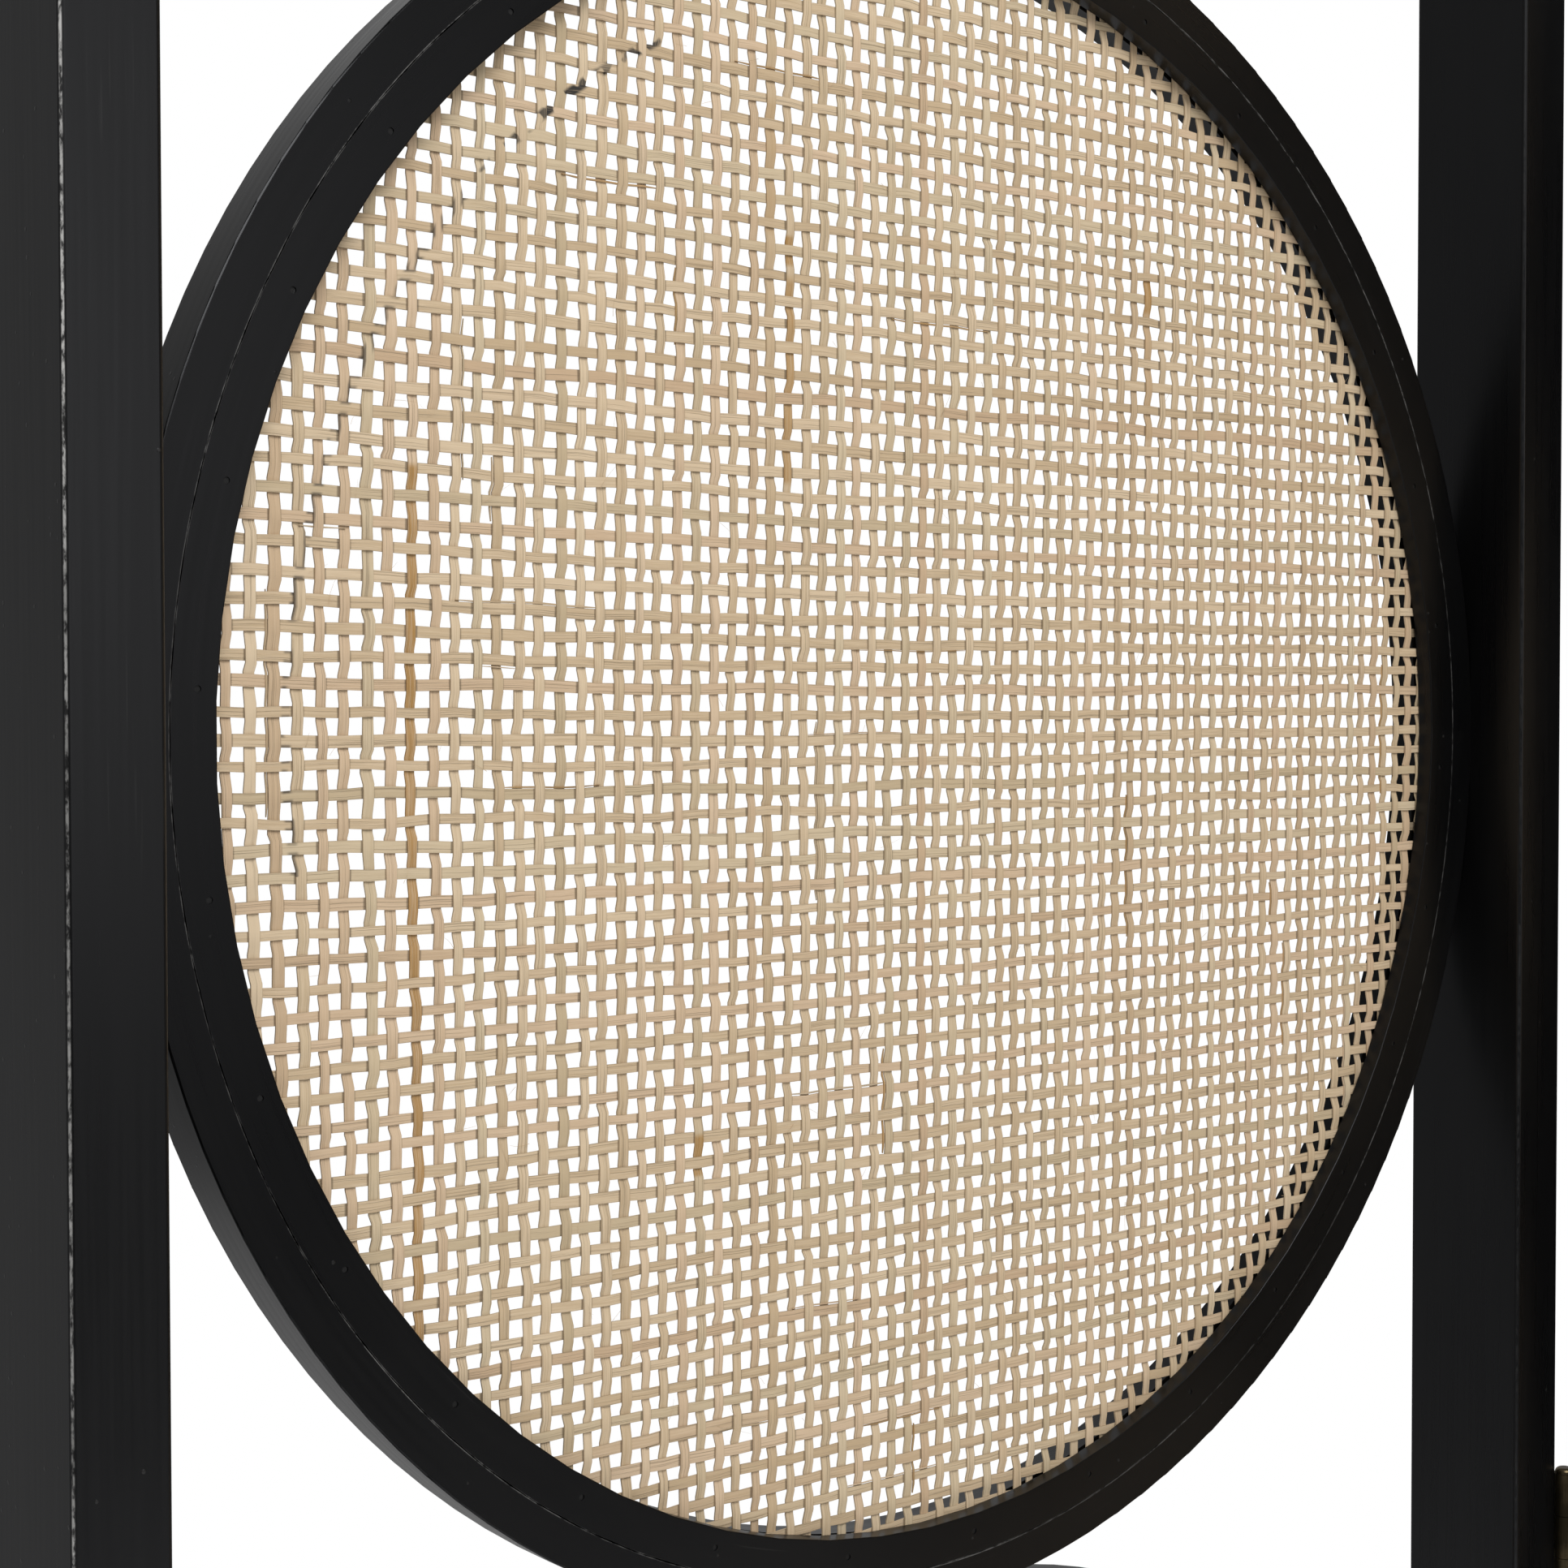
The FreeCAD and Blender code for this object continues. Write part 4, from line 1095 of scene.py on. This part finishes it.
# Ways to the brighter wall, the window and the backdrop that the paint mirrors
WALL_WAY = (-0.85, 0.52, 0.0)
WINDOW_WAY = (0.78, -0.61, 0.14)
BACKDROP_WAY = (-0.1, 0.93, 0.35)
SENSOR_WIDTH = 36.0
CLIP_START = 0.01


def lay_floor(scene, stage):
    """A pale floor that fades into the white surround."""
    mesh = bmesh.new()
    bmesh.ops.create_circle(mesh, cap_ends=True, segments=FLOOR_SIDES, radius=stage.floor_radius,
                            matrix=Matrix.Translation((0, 0, -FLOOR_DROP)))
    material, tree, shader = new_material("pale_floor")
    place = object_place(tree)
    mottle = spread(tree, noise(tree, place, FLOOR_MOTTLE, 3.0), 0.3, 0.7, 0.0, 0.04)
    wire(tree, shader, Base_Color=tint(tree, mottle, opaque(stage.floor_colour), FLOOR_GREY),
         Roughness=FLOOR_ROUGHNESS, Specular_IOR_Level=FLOOR_SHINE)
    reach = put(tree, "ShaderNodeVectorMath", {"operation": "LENGTH"}, Vector=place).outputs["Value"]
    fade = spread(tree, reach, *(stage.floor_radius * share for share in FLOOR_FADE))
    seen = put(tree, "ShaderNodeLightPath").outputs["Is Camera Ray"]
    white = put(tree, "ShaderNodeEmission", Color=WHITE, Strength=1.0)
    mixed = tree.nodes.new("ShaderNodeMixShader")
    for socket, value in zip(mixed.inputs, (times(tree, fade, seen), shader.outputs[0], white.outputs[0])):
        feed(tree, socket, value)
    wire(tree, tree.nodes["Material Output"], Surface=mixed.outputs[0])
    floor = add_piece(scene, "floor", mesh, material)


def hang_lamp(scene, stage):
    """The large soft lamp, a square one that faces the screen."""
    lamp = bpy.data.lights.new("key_softbox", "AREA")
    lamp.shape = "SQUARE"
    lamp.size = KEY_SIZE
    lamp.energy = stage.key_power
    item = bpy.data.objects.new("key_softbox", lamp)
    item.location = KEY_PLACE
    item.rotation_mode = "QUATERNION"
    item.rotation_quaternion = (Vector(KEY_AIM) - Vector(KEY_PLACE)).to_track_quat("-Z", "Y")
    scene.collection.objects.link(item)


def toward(tree, way, side):
    """How directly a way points to one side, from -1 to 1."""
    return solve(tree, "ShaderNodeVectorMath", "DOT_PRODUCT", way, Vector(side).normalized())["Value"]


def light_surround(scene, stage):
    """White for the camera, a dim studio with one brighter side for gloss, and even ambient light."""
    world = bpy.data.worlds.new("white_studio")
    world.use_nodes = True
    scene.world = world
    tree = world.node_tree
    tree.nodes.clear()
    way = put(tree, "ShaderNodeTexCoord").outputs["Generated"]
    wall = spread(tree, toward(tree, way, WALL_WAY), -0.4, 0.3, 0.09, 0.22)
    window = spread(tree, toward(tree, way, WINDOW_WAY), 0.945, 0.998, 0.0, 1.15)
    backdrop = spread(tree, toward(tree, way, BACKDROP_WAY), 0.80, 0.98, 0.0, 0.32)
    studio = calc(tree, "ADD", calc(tree, "ADD", wall, window), backdrop)
    rays = put(tree, "ShaderNodeLightPath").outputs
    camera = rays["Is Camera Ray"]
    mirrored = calc(tree, "MAXIMUM", rays["Is Glossy Ray"], rays["Is Transmission Ray"])
    more = calc(tree, "SUBTRACT", studio, stage.ambient)
    unseen = calc(tree, "MULTIPLY_ADD", mirrored, more, stage.ambient)
    level = calc(tree, "MULTIPLY_ADD", camera, calc(tree, "SUBTRACT", 1.0, unseen), unseen)
    sky = put(tree, "ShaderNodeBackground", Color=WHITE, Strength=level)
    put(tree, "ShaderNodeOutputWorld", Surface=sky.outputs[0])


def place_camera(scene, stage):
    """The camera at the photo's viewpoint."""
    lens = bpy.data.cameras.new("photo_camera")
    lens.sensor_width = SENSOR_WIDTH
    lens.lens = stage.camera_lens
    lens.clip_start = CLIP_START
    camera = bpy.data.objects.new("photo_camera", lens)
    turn = (Matrix.Rotation(stage.camera_heading, 4, "Z")
            @ Matrix.Rotation(math.pi / 2 + stage.camera_tilt, 4, "X")
            @ Matrix.Rotation(-stage.camera_roll, 4, "Z"))
    camera.matrix_world = Matrix.Translation(stage.camera_place) @ turn
    scene.collection.objects.link(camera)
    scene.camera = camera


class PARTITION_PT_builder(bpy.types.Panel):
    """Lists the steps and settings of the screen"""
    bl_idname = "PARTITION_PT_builder"
    bl_label = "Folding cane screen"
    bl_space_type = "VIEW_3D"
    bl_region_type = "UI"
    bl_category = "Cane screen"

    def draw(self, context):
        layout = self.layout
        for operator in OPERATORS:
            layout.operator(operator.bl_idname)
        for name in SETTINGS:
            group = getattr(context.scene, name)
            box = layout.box()
            for item in group.bl_rna.properties:
                if item.identifier not in ("rna_type", "name"):
                    box.prop(group, item.identifier)


OPERATORS = (PARTITION_OT_weave_cane, PARTITION_OT_finish_posts, PARTITION_OT_finish_hoops,
             PARTITION_OT_finish_hinges, PARTITION_OT_finish_fixings, PARTITION_OT_set_stage)
SETTINGS = {"partition_cane": CaneSettings, "partition_wood": WoodSettings, "partition_metal": MetalSettings,
            "partition_stage": StageSettings}


def register():
    """Register the classes and hang the settings on the scene."""
    for item in (*SETTINGS.values(), *OPERATORS, PARTITION_PT_builder):
        bpy.utils.register_class(item)
    for name, group in SETTINGS.items():
        setattr(bpy.types.Scene, name, PointerProperty(type=group))


def unregister():
    """Take the settings off the scene and unregister the classes."""
    for name in SETTINGS:
        delattr(bpy.types.Scene, name)
    for item in (PARTITION_PT_builder, *reversed(OPERATORS), *SETTINGS.values()):
        bpy.utils.unregister_class(item)


def main():
    """Build the looks step by step."""
    register()
    bpy.ops.partition.weave_cane()
    bpy.ops.partition.finish_posts()
    bpy.ops.partition.finish_hoops()
    bpy.ops.partition.finish_hinges()
    bpy.ops.partition.finish_fixings()
    bpy.ops.partition.set_stage()


if __name__ == "__main__":
    main()
